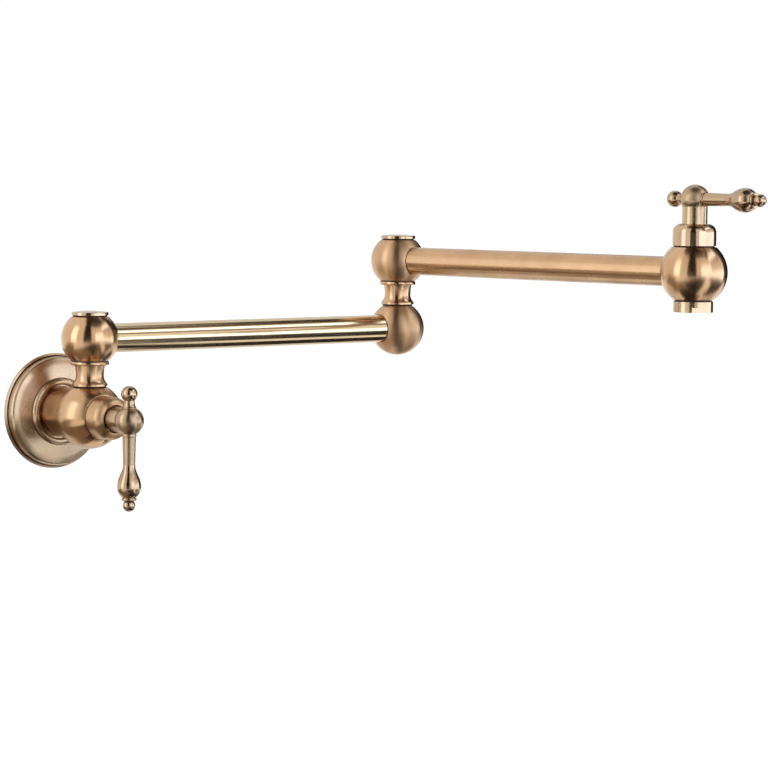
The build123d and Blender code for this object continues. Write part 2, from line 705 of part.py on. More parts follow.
# ---------------------------------------------------------------- both swivels
for joint, seat in (("shoulder", shoulder), ("elbow", elbow)):
    spin = axis_of(seat)
    along = facing(seat, seat.x_dir)
    collar_top = -swivel_foot - washer_height
    collar_foot = collar_top - collar_height
    nut_start = nut_pocket_floor + top_washer_height

    # Collar: a beaded spool between the piece below and the turning ball.
    with BuildPart() as collar:
        with BuildSketch(profile_of(seat)):
            with BuildLine():
                Polyline(
                    (post_radius + thread_gap, collar_foot),
                    (collar_foot_radius, collar_foot),
                    (collar_foot_radius, collar_foot + collar_foot_band),
                )
                TangentArc(
                    (collar_waist_radius, collar_foot + collar_waist),
                    (collar_foot_radius, collar_foot + collar_foot_band),
                    tangent=(0, -1),
                )
                TangentArc(
                    (collar_waist_radius, collar_foot + collar_waist),
                    (collar_neck_radius, collar_top - collar_band),
                    tangent=(0, 1),
                )
                Line(
                    (collar_neck_radius, collar_top - collar_band),
                    (collar_top_radius - edge_break, collar_top - collar_band),
                )
                ThreePointArc(
                    (collar_top_radius - edge_break, collar_top - collar_band),
                    (collar_top_radius, collar_top - collar_band / 2),
                    (collar_top_radius - edge_break, collar_top),
                )
                Polyline(
                    (collar_top_radius - edge_break, collar_top),
                    (post_radius + thread_gap, collar_top),
                    (post_radius + thread_gap, collar_foot),
                )
            make_face()
        revolve(axis=spin)
    keep(collar, f"{joint}_collar")

    # Post: hollow, screwed in below, with two O-ring grooves and four ports into the ball.
    with BuildPart() as post:
        ring(seat, collar_foot - post_thread, post_top, post_radius)
        ring(
            seat,
            collar_foot - post_thread,
            chamber_half_height,
            post_bore_radius,
            mode=Mode.SUBTRACT,
        )
        for height in (lower_ring, upper_ring):
            ring(
                seat,
                height - groove_width / 2,
                height + groove_width / 2,
                post_radius,
                post_radius - 2 * ring_section,
                mode=Mode.SUBTRACT,
            )
        for direction in (seat.x_dir, seat.y_dir):
            with BuildSketch(facing(seat, direction)):
                Circle(post_port_radius)
            extrude(amount=post_radius, both=True, mode=Mode.SUBTRACT)
    keep(post, f"{joint}_post")

    with BuildPart() as post_o_rings:
        for height in (lower_ring, upper_ring):
            rubber_ring(seat, height, post_radius - 2 * ring_section)
    keep(post_o_rings, f"{joint}_post_o_rings")

    with BuildPart() as thrust_washer:
        ring(seat, collar_top, -swivel_foot, washer_radius, post_radius + thread_gap)
    keep(thrust_washer, f"{joint}_thrust_washer")

    # Ball: turned with a flat foot and a flat top, bored for the post and for the arm's tube.
    with BuildPart() as ball:
        with BuildSketch(profile_of(seat)):
            with BuildLine():
                Polyline(
                    (0, cap_seat),
                    (0, -swivel_foot),
                    (flat_radius(swivel_ball_radius, swivel_foot), -swivel_foot),
                )
                ThreePointArc(
                    (flat_radius(swivel_ball_radius, swivel_foot), -swivel_foot),
                    (swivel_ball_radius, 0),
                    (flat_radius(swivel_ball_radius, cap_seat), cap_seat),
                )
                Line((flat_radius(swivel_ball_radius, cap_seat), cap_seat), (0, cap_seat))
            make_face()
        revolve(axis=spin)
        ring(seat, -swivel_foot, nut_pocket_floor, post_radius + running, mode=Mode.SUBTRACT)
        ring(
            seat, -chamber_half_height, chamber_half_height, chamber_radius, mode=Mode.SUBTRACT
        )
        ring(seat, nut_pocket_floor, cap_seat, nut_pocket_radius, mode=Mode.SUBTRACT)
        ring(along, post_radius, swivel_tube_start, arm_port_radius, mode=Mode.SUBTRACT)
        ring(
            along,
            swivel_tube_start,
            swivel_ball_radius,
            tube_radius + socket_gap,
            mode=Mode.SUBTRACT,
        )
    keep(ball, f"{joint}_ball")

    with BuildPart() as top_washer:
        ring(
            seat,
            nut_pocket_floor,
            nut_start,
            nut_pocket_radius - top_washer_gap,
            post_radius + thread_gap,
        )
    keep(top_washer, f"{joint}_top_washer")

    with BuildPart() as nut:
        hexagon(seat, nut_start, nut_start + nut_height, nut_hex)
        ring(
            seat, nut_start, nut_start + nut_height, post_radius + thread_gap, mode=Mode.SUBTRACT
        )
    keep(nut, f"{joint}_nut")

    # Cap: a shallow domed disc on a short skirt.
    cap_edge = cap_seat + cap_side
    skirt_radius = nut_pocket_radius - thread_gap
    with BuildPart() as cap:
        with BuildSketch(profile_of(seat)):
            with BuildLine():
                Polyline(
                    (0, cap_edge + cap_dome),
                    (0, cap_seat),
                    (skirt_radius - cap_skirt_wall, cap_seat),
                    (skirt_radius - cap_skirt_wall, cap_seat - cap_skirt_height),
                    (skirt_radius, cap_seat - cap_skirt_height),
                    (skirt_radius, cap_seat),
                    (cap_radius, cap_seat),
                    (cap_radius, cap_edge - edge_break),
                    (cap_radius - edge_break, cap_edge),
                )
                TangentArc(
                    (0, cap_edge + cap_dome), (cap_radius - edge_break, cap_edge), tangent=(1, 0)
                )
            make_face()
        revolve(axis=spin)
    keep(cap, f"{joint}_cap")

# ---------------------------------------------------------------- arms
# Lower ball of the elbow: full and round, with the tube in its side and a post socket on top.
elbow_post_foot = elbow_collar_seat - post_thread
with BuildPart() as elbow_lower_ball:
    with BuildSketch(profile_of(elbow_low)):
        with BuildLine():
            Line((0, elbow_collar_seat), (0, -swivel_ball_radius))
            ThreePointArc(
                (0, -swivel_ball_radius),
                (swivel_ball_radius, 0),
                (flat_radius(swivel_ball_radius, elbow_collar_seat), elbow_collar_seat),
            )
            Line(
                (flat_radius(swivel_ball_radius, elbow_collar_seat), elbow_collar_seat),
                (0, elbow_collar_seat),
            )
        make_face()
    revolve(axis=axis_of(elbow_low))
    tube_side = facing(elbow_low, elbow_low.x_dir)
    ring(
        tube_side,
        swivel_tube_start,
        swivel_ball_radius,
        tube_radius + socket_gap,
        mode=Mode.SUBTRACT,
    )
    ring(tube_side, -post_bore_radius, swivel_tube_start, arm_port_radius, mode=Mode.SUBTRACT)
    ring(elbow_low, 0, elbow_post_foot, post_bore_radius, mode=Mode.SUBTRACT)
    ring(
        elbow_low,
        elbow_post_foot,
        elbow_collar_seat,
        post_radius + thread_gap,
        mode=Mode.SUBTRACT,
    )
keep(elbow_lower_ball, "elbow_lower_ball")

with BuildPart() as lower_arm_tube:
    ring(
        facing(shoulder, arm_direction_down),
        swivel_tube_start,
        arm_length - swivel_tube_start,
        tube_radius,
        tube_bore_radius,
    )
keep(lower_arm_tube, "lower_arm_tube")

with BuildPart() as upper_arm_tube:
    ring(
        facing(elbow, arm_direction_up),
        swivel_tube_start,
        arm_length - valve_tube_start,
        tube_radius,
        tube_bore_radius,
    )
keep(upper_arm_tube, "upper_arm_tube")

# ---------------------------------------------------------------- spout
spout_end = -aerator_seat - aerator_height
with BuildPart() as aerator_housing:
    ring(outlet_valve, spout_end, -aerator_seat, aerator_radius)
    chamfer(edges().group_by(SortBy.LENGTH)[-1], edge_break)
    for side in (-1, 1):
        with BuildSketch(outlet_valve.offset(spout_end)):
            with PolarLocations(0, 1, start_angle=spanner_flat_angle):
                with Locations((side * (spanner_flat + aerator_radius) / 2, 0)):
                    Rectangle(aerator_radius - spanner_flat, 2 * aerator_radius)
        extrude(amount=spanner_flat_height, mode=Mode.SUBTRACT)
    ring(
        outlet_valve, -aerator_seat, -aerator_seat + aerator_spigot_height, aerator_spigot_radius
    )
    ring(
        outlet_valve,
        spout_end + aerator_lip,
        -aerator_seat + aerator_spigot_height,
        aerator_bore_radius,
        mode=Mode.SUBTRACT,
    )
    ring(
        outlet_valve,
        spout_end,
        spout_end + aerator_lip,
        aerator_lip_radius,
        mode=Mode.SUBTRACT,
    )
keep(aerator_housing, "aerator_housing")

# Insert: a plastic cup whose floor breaks the water up through a field of small holes.
with BuildPart() as aerator_insert:
    insert_radius = aerator_bore_radius - thread_gap
    ring(outlet_valve, -insert_start, -insert_start + insert_height, insert_radius)
    ring(
        outlet_valve,
        -insert_start + insert_floor,
        -insert_start + insert_height,
        washer_bore_radius,
        mode=Mode.SUBTRACT,
    )
    with BuildSketch(outlet_valve.offset(-insert_start)):
        with HexLocations(insert_hole_pitch / 2, insert_hole_rows, insert_hole_rows):
            RegularPolygon(insert_hole_radius, 6)
    extrude(amount=insert_floor, mode=Mode.SUBTRACT)
keep(aerator_insert, "aerator_insert")

aerator_washer_start = -insert_start + insert_height
with BuildPart() as aerator_washer:
    ring(
        outlet_valve,
        aerator_washer_start,
        -aerator_seat + aerator_spigot_height + blind_gap,
        aerator_bore_radius - thread_gap,
        washer_bore_radius,
    )
keep(aerator_washer, "aerator_washer")
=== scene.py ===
"""A wall mounted pot filler in lathe brushed antique brass: the looks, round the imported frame."""

import json
from math import asin, atan2, cos, hypot, pi, radians, sin, sqrt, tan, tau

import bpy
from bpy.props import FloatProperty, FloatVectorProperty, PointerProperty
from mathutils import Matrix, Vector


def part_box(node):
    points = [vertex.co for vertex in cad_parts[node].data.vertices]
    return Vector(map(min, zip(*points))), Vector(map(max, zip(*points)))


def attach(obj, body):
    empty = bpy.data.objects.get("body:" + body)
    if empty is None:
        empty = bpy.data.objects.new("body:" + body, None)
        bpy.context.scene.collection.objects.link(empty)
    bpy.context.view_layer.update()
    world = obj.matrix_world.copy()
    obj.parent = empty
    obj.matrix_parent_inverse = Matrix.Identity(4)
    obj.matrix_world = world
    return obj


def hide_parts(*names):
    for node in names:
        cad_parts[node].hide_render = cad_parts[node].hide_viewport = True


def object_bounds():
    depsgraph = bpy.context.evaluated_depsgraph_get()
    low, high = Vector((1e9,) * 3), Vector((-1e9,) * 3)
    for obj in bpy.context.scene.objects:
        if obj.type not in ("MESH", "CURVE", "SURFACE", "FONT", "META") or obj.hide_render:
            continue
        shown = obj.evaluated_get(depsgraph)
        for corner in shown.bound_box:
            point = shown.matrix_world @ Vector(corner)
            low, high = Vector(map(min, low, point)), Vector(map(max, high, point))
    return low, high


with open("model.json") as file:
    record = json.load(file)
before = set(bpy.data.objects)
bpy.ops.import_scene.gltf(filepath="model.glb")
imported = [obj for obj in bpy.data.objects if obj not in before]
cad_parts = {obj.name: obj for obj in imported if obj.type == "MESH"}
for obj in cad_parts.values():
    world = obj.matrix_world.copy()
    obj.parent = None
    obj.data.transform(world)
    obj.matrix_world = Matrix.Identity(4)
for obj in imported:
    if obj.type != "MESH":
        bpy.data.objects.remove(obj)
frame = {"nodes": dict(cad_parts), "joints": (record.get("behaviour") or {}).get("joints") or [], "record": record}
cad_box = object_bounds()

bl_info = {
    "name": "Wall Mounted Pot Filler",
    "version": (1, 0, 0),
    "blender": (4, 5, 0),
    "location": "3D View > Sidebar > Pot Filler",
    "description": "Models and finishes a wall mounted pot filler round its packed frame",
    "category": "Add Mesh",
}

MM = 0.001
ROUND_STEPS = 128        # faces round a turned piece
ARC_STEPS = 24           # faces along an arc of an outline
SMALL_ARC_STEPS = 8
LEVER_EDGE = 0.12 * MM   # broken edges, as a lathe hand leaves them
SPOOL_EDGE = 0.15 * MM
EDGE = 0.2 * MM
CUP_EDGE = 0.25 * MM
LID_EDGE = 0.3 * MM
NUT_EDGE = 0.4 * MM
CUT_PAST = 0.5 * MM      # how far a drill starts outside the metal
THREAD_FORM = ((0.12, 1), (0.44, 0), (0.56, 0), (0.88, 1))  # shares of the pitch and the depth
MERGE_DISTANCE = 0.002 * MM
DRIFT = 18 * MM          # how far apart the tones of the brass lie
SMOOTH_ANGLE = radians(40)
BODY_OF = {
    node: body
    for body, nodes in frame["record"]["behaviour"]["bodies"].items()
    for node in nodes
}


# ------------------------------------------------------------------ sizes and colours
def linear(code):
    """An sRGB hex colour as the linear values that shaders take."""
    values = [int(code[i:i + 2], 16) / 255 for i in (1, 3, 5)]
    return tuple(v / 12.92 if v <= 0.04045 else ((v + 0.055) / 1.055) ** 2.4 for v in values)


def length(name, millimetres, description):
    return FloatProperty(
        name=name, description=description, default=millimetres * MM, unit="LENGTH", precision=5
    )


def angle(name, degrees, description):
    return FloatProperty(
        name=name, description=description, default=radians(degrees), subtype="ANGLE"
    )


def number(name, value, description):
    return FloatProperty(name=name, description=description, default=value)


def colour(name, code, description):
    return FloatVectorProperty(
        name=name, description=description, default=linear(code), subtype="COLOR", size=3
    )


class FlangeSizes(bpy.types.PropertyGroup):
    """The rosette on the wall. Heights are from the wall."""

    radius: length("Radius", 38.6, "From the axis to the rim")
    lip: length("Lip", 1.2, "Height of the thin rim")
    lip_width: length("Lip width", 1.4, "From the rim to the dome's foot")
    lip_slope: length("Lip slope", 0.5, "How much higher the lip's inner edge is")
    crest: length("Dome crest", 30.6, "Radius where the dome flattens out")
    dome: length("Dome height", 8.05, "Height of the dome at its crest")
    draft: length("Side draft", 0.2, "How much the dome's side opens towards its foot")
    shoulder: length("Dome shoulder", 2.6, "Radius of the turn from the dome's side to its top")
    shoulder_end: length("Shoulder end", 7.3, "Height where that turn ends")
    bead_foot: length("Bead foot", 8.55, "Height where the bead leaves the dome")
    bead_outer: length("Bead outside", 22.0, "Outer radius of the bead round the barrel")
    bead_inner: length("Bead inside", 17.9, "Inner radius of the bead")
    bead_bulge: length("Bead bulge", 2.2, "How far the bead is rounded out")
    bead_end: length("Bead end", 10.4, "Height of the bead's inner edge")
    shell: length("Shell", 2.0, "Thickness of the pressed brass")
    neck: length("Neck", 16.85, "Radius of the hole that the barrel passes")
    neck_wall: length("Neck wall", 2.5, "Thickness round that hole")
    neck_back: length("Neck back", 4.0, "Height where the neck starts")


class InletSizes(bpy.types.PropertyGroup):
    """The threaded nipple that screws into the pipe in the wall."""

    radius: length("Thread radius", 10.48, "Outside of the half inch thread")
    pitch: length("Thread pitch", 1.814, "From crest to crest")
    depth: length("Thread depth", 1.16, "From crest to root")
    reach: length("Thread length", 20.0, "How far the thread reaches into the wall")
    front: length("Front end", 20.5, "Height of the end inside the barrel")
    bore: length("Bore", 7.5, "Radius of the water way")
    hexagon: length("Hexagon", 24.0, "Across the flats")
    hexagon_height: length("Hexagon height", 3.5, "Along the axis")


class ValveSizes(bpy.types.PropertyGroup):
    """The two valve bodies and their bonnets. Heights are from the ball's centre."""

    ball: length("Ball", 22.0, "Radius of the valve's ball")
    barrel: length("Barrel", 16.8, "Radius of the wall valve's barrel")
    barrel_start: length("Barrel start", 4.5, "From the wall to the barrel's back end")
    collar_seat: length("Collar seat", 18.7, "Height of the flat under the shoulder")
    bonnet_seat: length("Bonnet seat", 16.5, "Height of the flat under the bonnet")
    aerator_seat: length("Aerator seat", 17.9, "Depth of the flat over the aerator")
    pocket: length("Pocket", 10.0, "Radius of the cartridge's pocket")
    pocket_floor: length("Pocket floor", -9.5, "Height of the pocket's floor")
    upstand: length("Upstand", 12.0, "Radius of the ring that carries the bonnet")
    upstand_height: length("Upstand height", 3.0, "Height of that ring")
    port: length("Water port", 6.0, "Radius of the water way into the pocket")
    socket: length("Inlet socket", 10.58, "Radius of the hole for the nipple")
    socket_end: length("Inlet socket end", -22.5, "Height of the bottom of that hole")
    spigot: length("Aerator socket", 11.0, "Radius of the hole for the aerator")
    spigot_depth: length("Aerator socket depth", 5.2, "Depth of that hole")
    bonnet: length("Bonnet", 14.2, "Radius of the cup over the cartridge")
    bonnet_side: length("Bonnet side", 9.5, "Height of the cup's straight side")
    bonnet_height: length("Bonnet height", 15.0, "Height of the whole cup")
    mouth: length("Bonnet mouth", 8.9, "Radius of the hole that the handle's neck passes")
    bonnet_shell: length("Bonnet shell", 2.0, "Thickness of the cup")
    bonnet_gap: length("Bonnet gap", 0.1, "Between the cup and the ring that carries it")
    bonnet_slope: length("Bonnet slope", 0.5, "From the side's top down to the bore's")
    mouth_edge: length("Mouth edge", 0.4, "Width of the edge round the mouth")


class HandleSizes(bpy.types.PropertyGroup):
    """Hub, lever and finial. Lengths are from the hub's centre."""

    height: length("Hub height", 47.5, "From the valve's ball to the hub's ball")
    hub: length("Hub", 9.5, "Radius of the hub's ball")
    neck: length("Neck", 8.2, "Radius of the hub's neck")
    neck_foot: length("Neck foot", 30.0, "Height of the neck's foot above the valve's ball")
    spigot: length("Spigot", 2.9, "Radius of the pegs in the hub")
    spigot_end: length("Spigot end", 5.2, "Where the pegs end inside the hub")
    collar: length("Lever collar", 4.7, "Radius of the lever's collar")
    collar_length: length("Lever collar length", 1.5, "Along the lever")
    collar_slope: length("Lever collar slope", 0.4, "Along the lever, from the collar to the root")
    root: length("Lever root", 4.35, "Radius past the collar")
    waist: length("Lever waist", 3.95, "Smallest radius")
    waist_at: length("Waist place", 28.0, "Where the lever is thinnest")
    bulb: length("Bulb", 7.85, "Largest radius")
    bulb_at: length("Bulb place", 43.0, "Where the lever is widest")
    ring: length("Ring", 4.7, "Radius of the thin ring")
    ring_width: length("Ring width", 1.4, "Along the lever")
    ring_step: length("Ring step", 0.3, "Between the bulb and the ring")
    ring_bulge: length("Ring bulge", 0.35, "How far the ring's edge is rounded out")
    tip: length("Tip ball", 4.15, "Radius of the ball at the lever's end")
    tip_neck: length("Tip neck", 2.6, "Radius between the ring and the ball")
    tip_at: length("Tip place", 54.7, "Where the tip ball's centre is")
    finial_root: length("Finial root", 4.6, "Radius where the finial meets the hub")
    finial_rim: length("Finial rim", 0.5, "Height of the finial's straight foot")
    finial_flare: length("Finial flare", 1.6, "How boldly the foot curves in")
    finial_waist: length("Finial waist", 3.5, "Smallest radius of the finial")
    finial_waist_at: length("Finial waist place", 11.6, "Where the finial is thinnest")
    finial_ball: length("Finial ball", 5.35, "Radius of the finial's ball")
    finial_ball_at: length("Finial ball place", 17.4, "Where that ball's centre is")
    screw: length("Set screw hole", 2.1, "Radius of the hole in the neck")
    screw_at: length("Set screw height", 36.5, "Above the valve's ball")
    screw_depth: length("Set screw depth", 2.8, "From the axis to the bottom of that hole")


class GrooveSizes(bpy.types.PropertyGroup):
    """The shadow line where two turned pieces meet."""

    height: length("Height", 0.9, "Along the axis")
    depth: length("Depth", 0.9, "From the outside inwards")
    ring: length("Ring width", 0.45, "Round a tube that enters a ball")


class SwivelSizes(bpy.types.PropertyGroup):
    """Collars, balls and caps of the two swivels. Heights are from the ball's centre."""

    ball: length("Ball", 19.0, "Radius of a swivel ball")
    foot: length("Foot", 14.0, "Depth of the flat under the ball")
    cap_seat: length("Cap seat", 14.6, "Height of the flat under the cap")
    elbow_seat: length("Elbow seat", 16.2, "Height of the flat on the elbow's lower ball")
    washer: length("Washer", 0.8, "Thickness of the washer under the ball")
    bore: length("Bore", 6.55, "Radius of the hole for the post")
    pocket: length("Nut pocket", 10.4, "Radius of the pocket for the nut")
    pocket_floor: length("Nut pocket floor", 7.5, "Height of its floor")
    collar_height: length("Collar height", 17.0, "Height of the spool under the washer")
    collar_top: length("Collar top", 12.7, "Radius of the spool's bead")
    collar_band: length("Collar bead", 2.4, "Height of the spool's bead")
    collar_neck: length("Collar neck", 9.9, "Radius right under the bead")
    collar_waist: length("Collar waist", 9.2, "Smallest radius of the spool")
    collar_waist_at: length("Collar waist place", 7.5, "From the foot to the waist")
    collar_foot: length("Collar foot", 11.6, "Radius of the spool's foot")
    foot_band: length("Foot band", 1.4, "Height of the foot's straight edge")
    edge: length("Edge", 0.4, "How far the spool's bead and the cap's rim are rounded")
    cap: length("Cap", 12.2, "Radius of the cap")
    cap_side: length("Cap side", 2.2, "Height of the cap's side")
    cap_dome: length("Cap dome", 0.8, "Rise of the cap's middle")
    skirt: length("Cap skirt", 10.3, "Radius of the skirt in the nut pocket")
    skirt_wall: length("Cap skirt wall", 1.5, "Thickness of the skirt")
    skirt_height: length("Cap skirt height", 1.6, "Depth of the skirt")


class ArmSizes(bpy.types.PropertyGroup):
    """The two tubes. Places are from the centre of the ball that a tube leaves."""

    tube: length("Tube", 9.7, "Outer radius of both arms")
    wall: length("Tube wall", 2.0, "Thickness of the tube")
    swivel_start: length("Swivel end", 12.0, "Where a tube ends inside a swivel ball")
    valve_start: length("Valve end", 15.5, "Where it ends inside the spout valve's ball")
    gap: length("Socket gap", 0.05, "Between a tube and its socket")


class SpoutSizes(bpy.types.PropertyGroup):
    """The aerator. Heights are down from its seat."""

    radius: length("Radius", 13.0, "Outside of the aerator's housing")
    height: length("Height", 7.8, "From the seat to the outlet")
    spigot: length("Spigot", 10.9, "Radius of the part inside the ball")
    spigot_height: length("Spigot height", 4.7, "How far it reaches into the ball")
    bore: length("Bore", 9.8, "Radius of the housing's bore")
    lip: length("Lip", 1.0, "Thickness of the lip that holds the insert")
    lip_radius: length("Lip radius", 9.0, "Radius of the outlet")
    flat: length("Spanner flat", 11.7, "From the axis to each spanner flat")
    flat_height: length("Spanner flat height", 3.2, "Up from the outlet's end")
    flat_turn: angle("Spanner flat turn", -31, "From the arm to the flats' direction")


class FinishSettings(bpy.types.PropertyGroup):
    """Colours of the brass and the inner pieces."""

    brass: colour("Brass", "#D2A97F", "Lacquered brass, antique bronze tone")
    brass_deep: colour("Deep brass", "#B4875A", "The same where the tone is deeper")
    # Levers, finials and hubs take a darker tone than the cast brass
    handle: colour("Handle brass", "#BFA180", "Levers, finials and hubs, which are handled most")
    handle_deep: colour("Deep handle brass", "#917353", "The same where the tone is deeper")
    # Painted shade: a near black that is laid on the faces of the grooves where the pieces meet
    stain: colour("Stain", "#25170D", "Dark wax left in the grooves by the antique finish")
    polish: colour("Polished brass", "#DFC69F", "Buffed brass, which is paler")
    polish_deep: colour("Deep polished brass", "#D3B68C", "The same where the tone is deeper")
    cast: colour("Cast brass", "#CDAF8E", "Handles, cups and spools, which are a little paler")
    cast_deep: colour("Deep cast brass", "#A88865", "The same where the tone is deeper")
    rubber: colour("Rubber", "#1B1B1C", "Moulded nitrile rubber")
    fibre: colour("Fibre", "#7A3E2C", "Pressed vulcanised fibre")
    foam: colour("Foam", "#3A3A3B", "Closed cell foam")
    acetal: colour("Acetal", "#271A11", "Moulded dark brown acetal")
    plastic: colour("White acetal", "#E9E9E4", "Moulded white acetal")
    ceramic: colour("Ceramic", "#F2EFE8", "Lapped alumina")
    steel: colour("Steel", "#C4C4C2", "Stainless wire")
    screw: colour("Screw", "#2B2A2A", "Blackened steel")


class StageSettings(bpy.types.PropertyGroup):
    """Camera, floor and lights."""

    yaw: angle("Yaw", -38.145, "Heading of the camera")
    pitch: angle("Pitch", 4.48, "How far it looks down")
    roll: angle("Roll", -0.6, "Turn about its own axis")
    lens: number("Lens", 131.25, "Focal length in millimetres")
    x: length("Camera X", -981.1, "Along the wall")
    y: length("Camera Y", -1603.9, "Out of the wall")
    z: length("Camera Z", 166.3, "Above the inlet")
    floor: length("Floor", -450.0, "Height of the floor")
    floor_tone: colour("Floor tone", "#F7F7F5", "Pale, matt")
    floor_glow: number("Floor glow", 1.2, "Keeps the floor white where no shadow falls")
    lamp_tone: colour("Lamp tone", "#C8E0FF", "Daylight through white cloth")
    left_lamp_tone: colour("Left lamp tone", "#DBEDFF", "The same, a little warmer")
    dark_felt: colour("Dark felt", "#1C120A", "Cloth that the metal sees as its darkest bands")
    grey_felt: colour("Grey felt", "#E4E1DD", "Cloth that only takes the glare off")
    tan_felt: colour("Tan felt", "#84705C", "Cloth for the softer bands")


class PotFillerSettings(bpy.types.PropertyGroup):
    """All the settings of the pot filler."""

    flange: PointerProperty(type=FlangeSizes)
    inlet: PointerProperty(type=InletSizes)
    valve: PointerProperty(type=ValveSizes)
    handle: PointerProperty(type=HandleSizes)
    swivel: PointerProperty(type=SwivelSizes)
    arm: PointerProperty(type=ArmSizes)
    spout: PointerProperty(type=SpoutSizes)
    groove: PointerProperty(type=GrooveSizes)
    finish: PointerProperty(type=FinishSettings)
    stage: PointerProperty(type=StageSettings)


# ------------------------------------------------------------------ seats
class Seat:
    """Where a turned piece stands: a point on its axis, the axis and a direction square to it."""

    def __init__(self, origin, axis, side):
        self.origin = Vector(origin)
        self.axis = Vector(axis).normalized()
        self.side = Vector(side).normalized()

    def at(self, radius, height):
        return self.origin + self.side * radius + self.axis * height

    def raised(self, height):
        return Seat(self.at(0, height), self.axis, self.side)

    def facing(self, direction):
        """A seat at the same point, on an axis square to the old one."""
        return Seat(self.origin, direction, self.axis)


joint_at = {joint["name"]: Vector(joint["pos_m"]) for joint in frame["joints"]}
joint_range = {joint["name"]: joint.get("range_deg") for joint in frame["joints"]}
UP = Vector((0, 0, 1))
OUT = Vector((0, -1, 0))
lower_way = joint_at["elbow_swivel"] - joint_at["shoulder_swivel"]
lower_way.z = 0
upper_way = joint_at["outlet_valve_turn"] - joint_at["elbow_swivel"]
arm_span = lower_way.length
lower_tube_low, lower_tube_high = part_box("lower_arm_tube")

wall_seat = Seat((0, 0, 0), OUT, -UP)
wall_valve = Seat(joint_at["wall_valve_turn"], OUT, -UP)
outlet_valve = Seat(joint_at["outlet_valve_turn"], UP, upper_way)
lever_way = Matrix.Rotation(-radians(joint_range["outlet_valve_turn"][1]), 3, UP) @ upper_way
outlet_handle = Seat(outlet_valve.origin, UP, lever_way)
shoulder = Seat(joint_at["shoulder_swivel"], UP, lower_way)
elbow = Seat(joint_at["elbow_swivel"], UP, upper_way)
elbow_low = Seat(
    (elbow.origin.x, elbow.origin.y, (lower_tube_low.z + lower_tube_high.z) / 2), UP, -lower_way
)
lower_arm = shoulder.facing(lower_way)
upper_arm = elbow.facing(upper_way)


# ------------------------------------------------------------------ outlines
def arc(middle, radius, start, end, steps=ARC_STEPS):
    """Points on an arc of an outline. Angles are in radians from the outward direction."""
    return [
        (
            middle[0] + radius * cos(start + (end - start) * i / steps),
            middle[1] + radius * sin(start + (end - start) * i / steps),
        )
        for i in range(steps + 1)
    ]


def stairs(start, *turns):
    """Points of an outline with square corners: a radius, a height, a radius and so on."""
    points = [start]
    for i, value in enumerate(turns):
        radius, height = points[-1]
        points.append((radius, value) if i % 2 else (value, height))
    return points


def bow(start, end, rise, steps=SMALL_ARC_STEPS):
    """An arc between two points that stands off their chord by rise, to the right of the way."""
    chord = Vector((end[0] - start[0], end[1] - start[1]))
    radius = (chord.length**2 / 4 + rise**2) / (2 * abs(rise))
    off = Vector((chord.y, -chord.x)).normalized() * (1 if rise > 0 else -1)
    middle = Vector(start) + chord / 2 - off * (radius - abs(rise))
    first = Vector(start) - middle
    last = Vector(end) - middle
    from_angle = atan2(first.y, first.x)
    turn = (atan2(last.y, last.x) - from_angle + pi) % tau - pi
    if abs(rise) > chord.length / 2:
        turn -= tau if turn > 0 else -tau
    return arc(middle, radius, from_angle, from_angle + turn, steps)


def hollow(waist, end, steps=ARC_STEPS):
    """An arc that leaves a waist along the axis and curves out to its end."""
    run, rise = end[0] - waist[0], end[1] - waist[1]
    radius = (run**2 + rise**2) / (2 * run)
    turn = asin(rise / radius)
    return arc((waist[0] + radius, waist[1]), radius, pi, pi - turn, steps)


def ease(start, end, leave, arrive, steps=ARC_STEPS):
    """A flowing curve between two points, given the way it leaves and the way it arrives."""
    points = []
    for i in range(steps + 1):
        t = i / steps
        near = (2 * t**3 - 3 * t**2 + 1, t**3 - 2 * t**2 + t)
        far = (3 * t**2 - 2 * t**3, t**3 - t**2)
        points.append(
            tuple(
                near[0] * start[k] + near[1] * leave[k] + far[0] * end[k] + far[1] * arrive[k]
                for k in (0, 1)
            )
        )
    return points


def flat_radius(ball, height):
    return sqrt(ball**2 - height**2)


def ball_arc(ball, low, high, steps=2 * ARC_STEPS):
    """The outline of a ball between two heights from its centre."""
    return arc((0, 0), ball, asin(max(low / ball, -1)), asin(min(high / ball, 1)), steps)


# ------------------------------------------------------------------ modelling
def deselect():
    bpy.ops.object.select_all(action="DESELECT")


def select(piece):
    deselect()
    piece.select_set(True)
    bpy.context.view_layer.objects.active = piece


def settle(piece):
    """Moves the piece's place into its mesh."""
    select(piece)
    bpy.ops.object.transform_apply(location=True, rotation=True, scale=True)


def turned(name, seat, outline, steps=ROUND_STEPS):
    """Draws an outline of (radius, height) points from one vertex and turns it round the axis."""
    deselect()
    bpy.ops.mesh.primitive_plane_add(size=MM, location=seat.at(*outline[0]))
    piece = bpy.context.object
    piece.name = name
    settle(piece)
    bpy.ops.object.mode_set(mode="EDIT")
    bpy.ops.mesh.merge(type="CENTER")
    for last, point in zip(outline, outline[1:]):
        if hypot(point[0] - last[0], point[1] - last[1]) > MERGE_DISTANCE:
            bpy.ops.mesh.extrude_vertices_move(
                TRANSFORM_OT_translate={"value": seat.at(*point) - seat.at(*last)}
            )
    bpy.ops.mesh.select_all(action="SELECT")
    bpy.ops.mesh.spin(steps=steps, angle=tau, center=seat.origin, axis=seat.axis)
    bpy.ops.mesh.select_all(action="SELECT")
    bpy.ops.mesh.remove_doubles(threshold=MERGE_DISTANCE)
    bpy.ops.mesh.normals_make_consistent(inside=False)
    bpy.ops.object.mode_set(mode="OBJECT")
    return piece


def trimmed(piece, seat, height):
    """Cuts a flat square to the seat's axis and closes it."""
    bpy.context.view_layer.objects.active = piece
    bpy.ops.object.mode_set(mode="EDIT")
    bpy.ops.mesh.select_all(action="SELECT")
    bpy.ops.mesh.bisect(
        plane_co=seat.at(0, height), plane_no=seat.axis, use_fill=True, clear_outer=True
    )
    bpy.ops.object.mode_set(mode="OBJECT")
    return piece


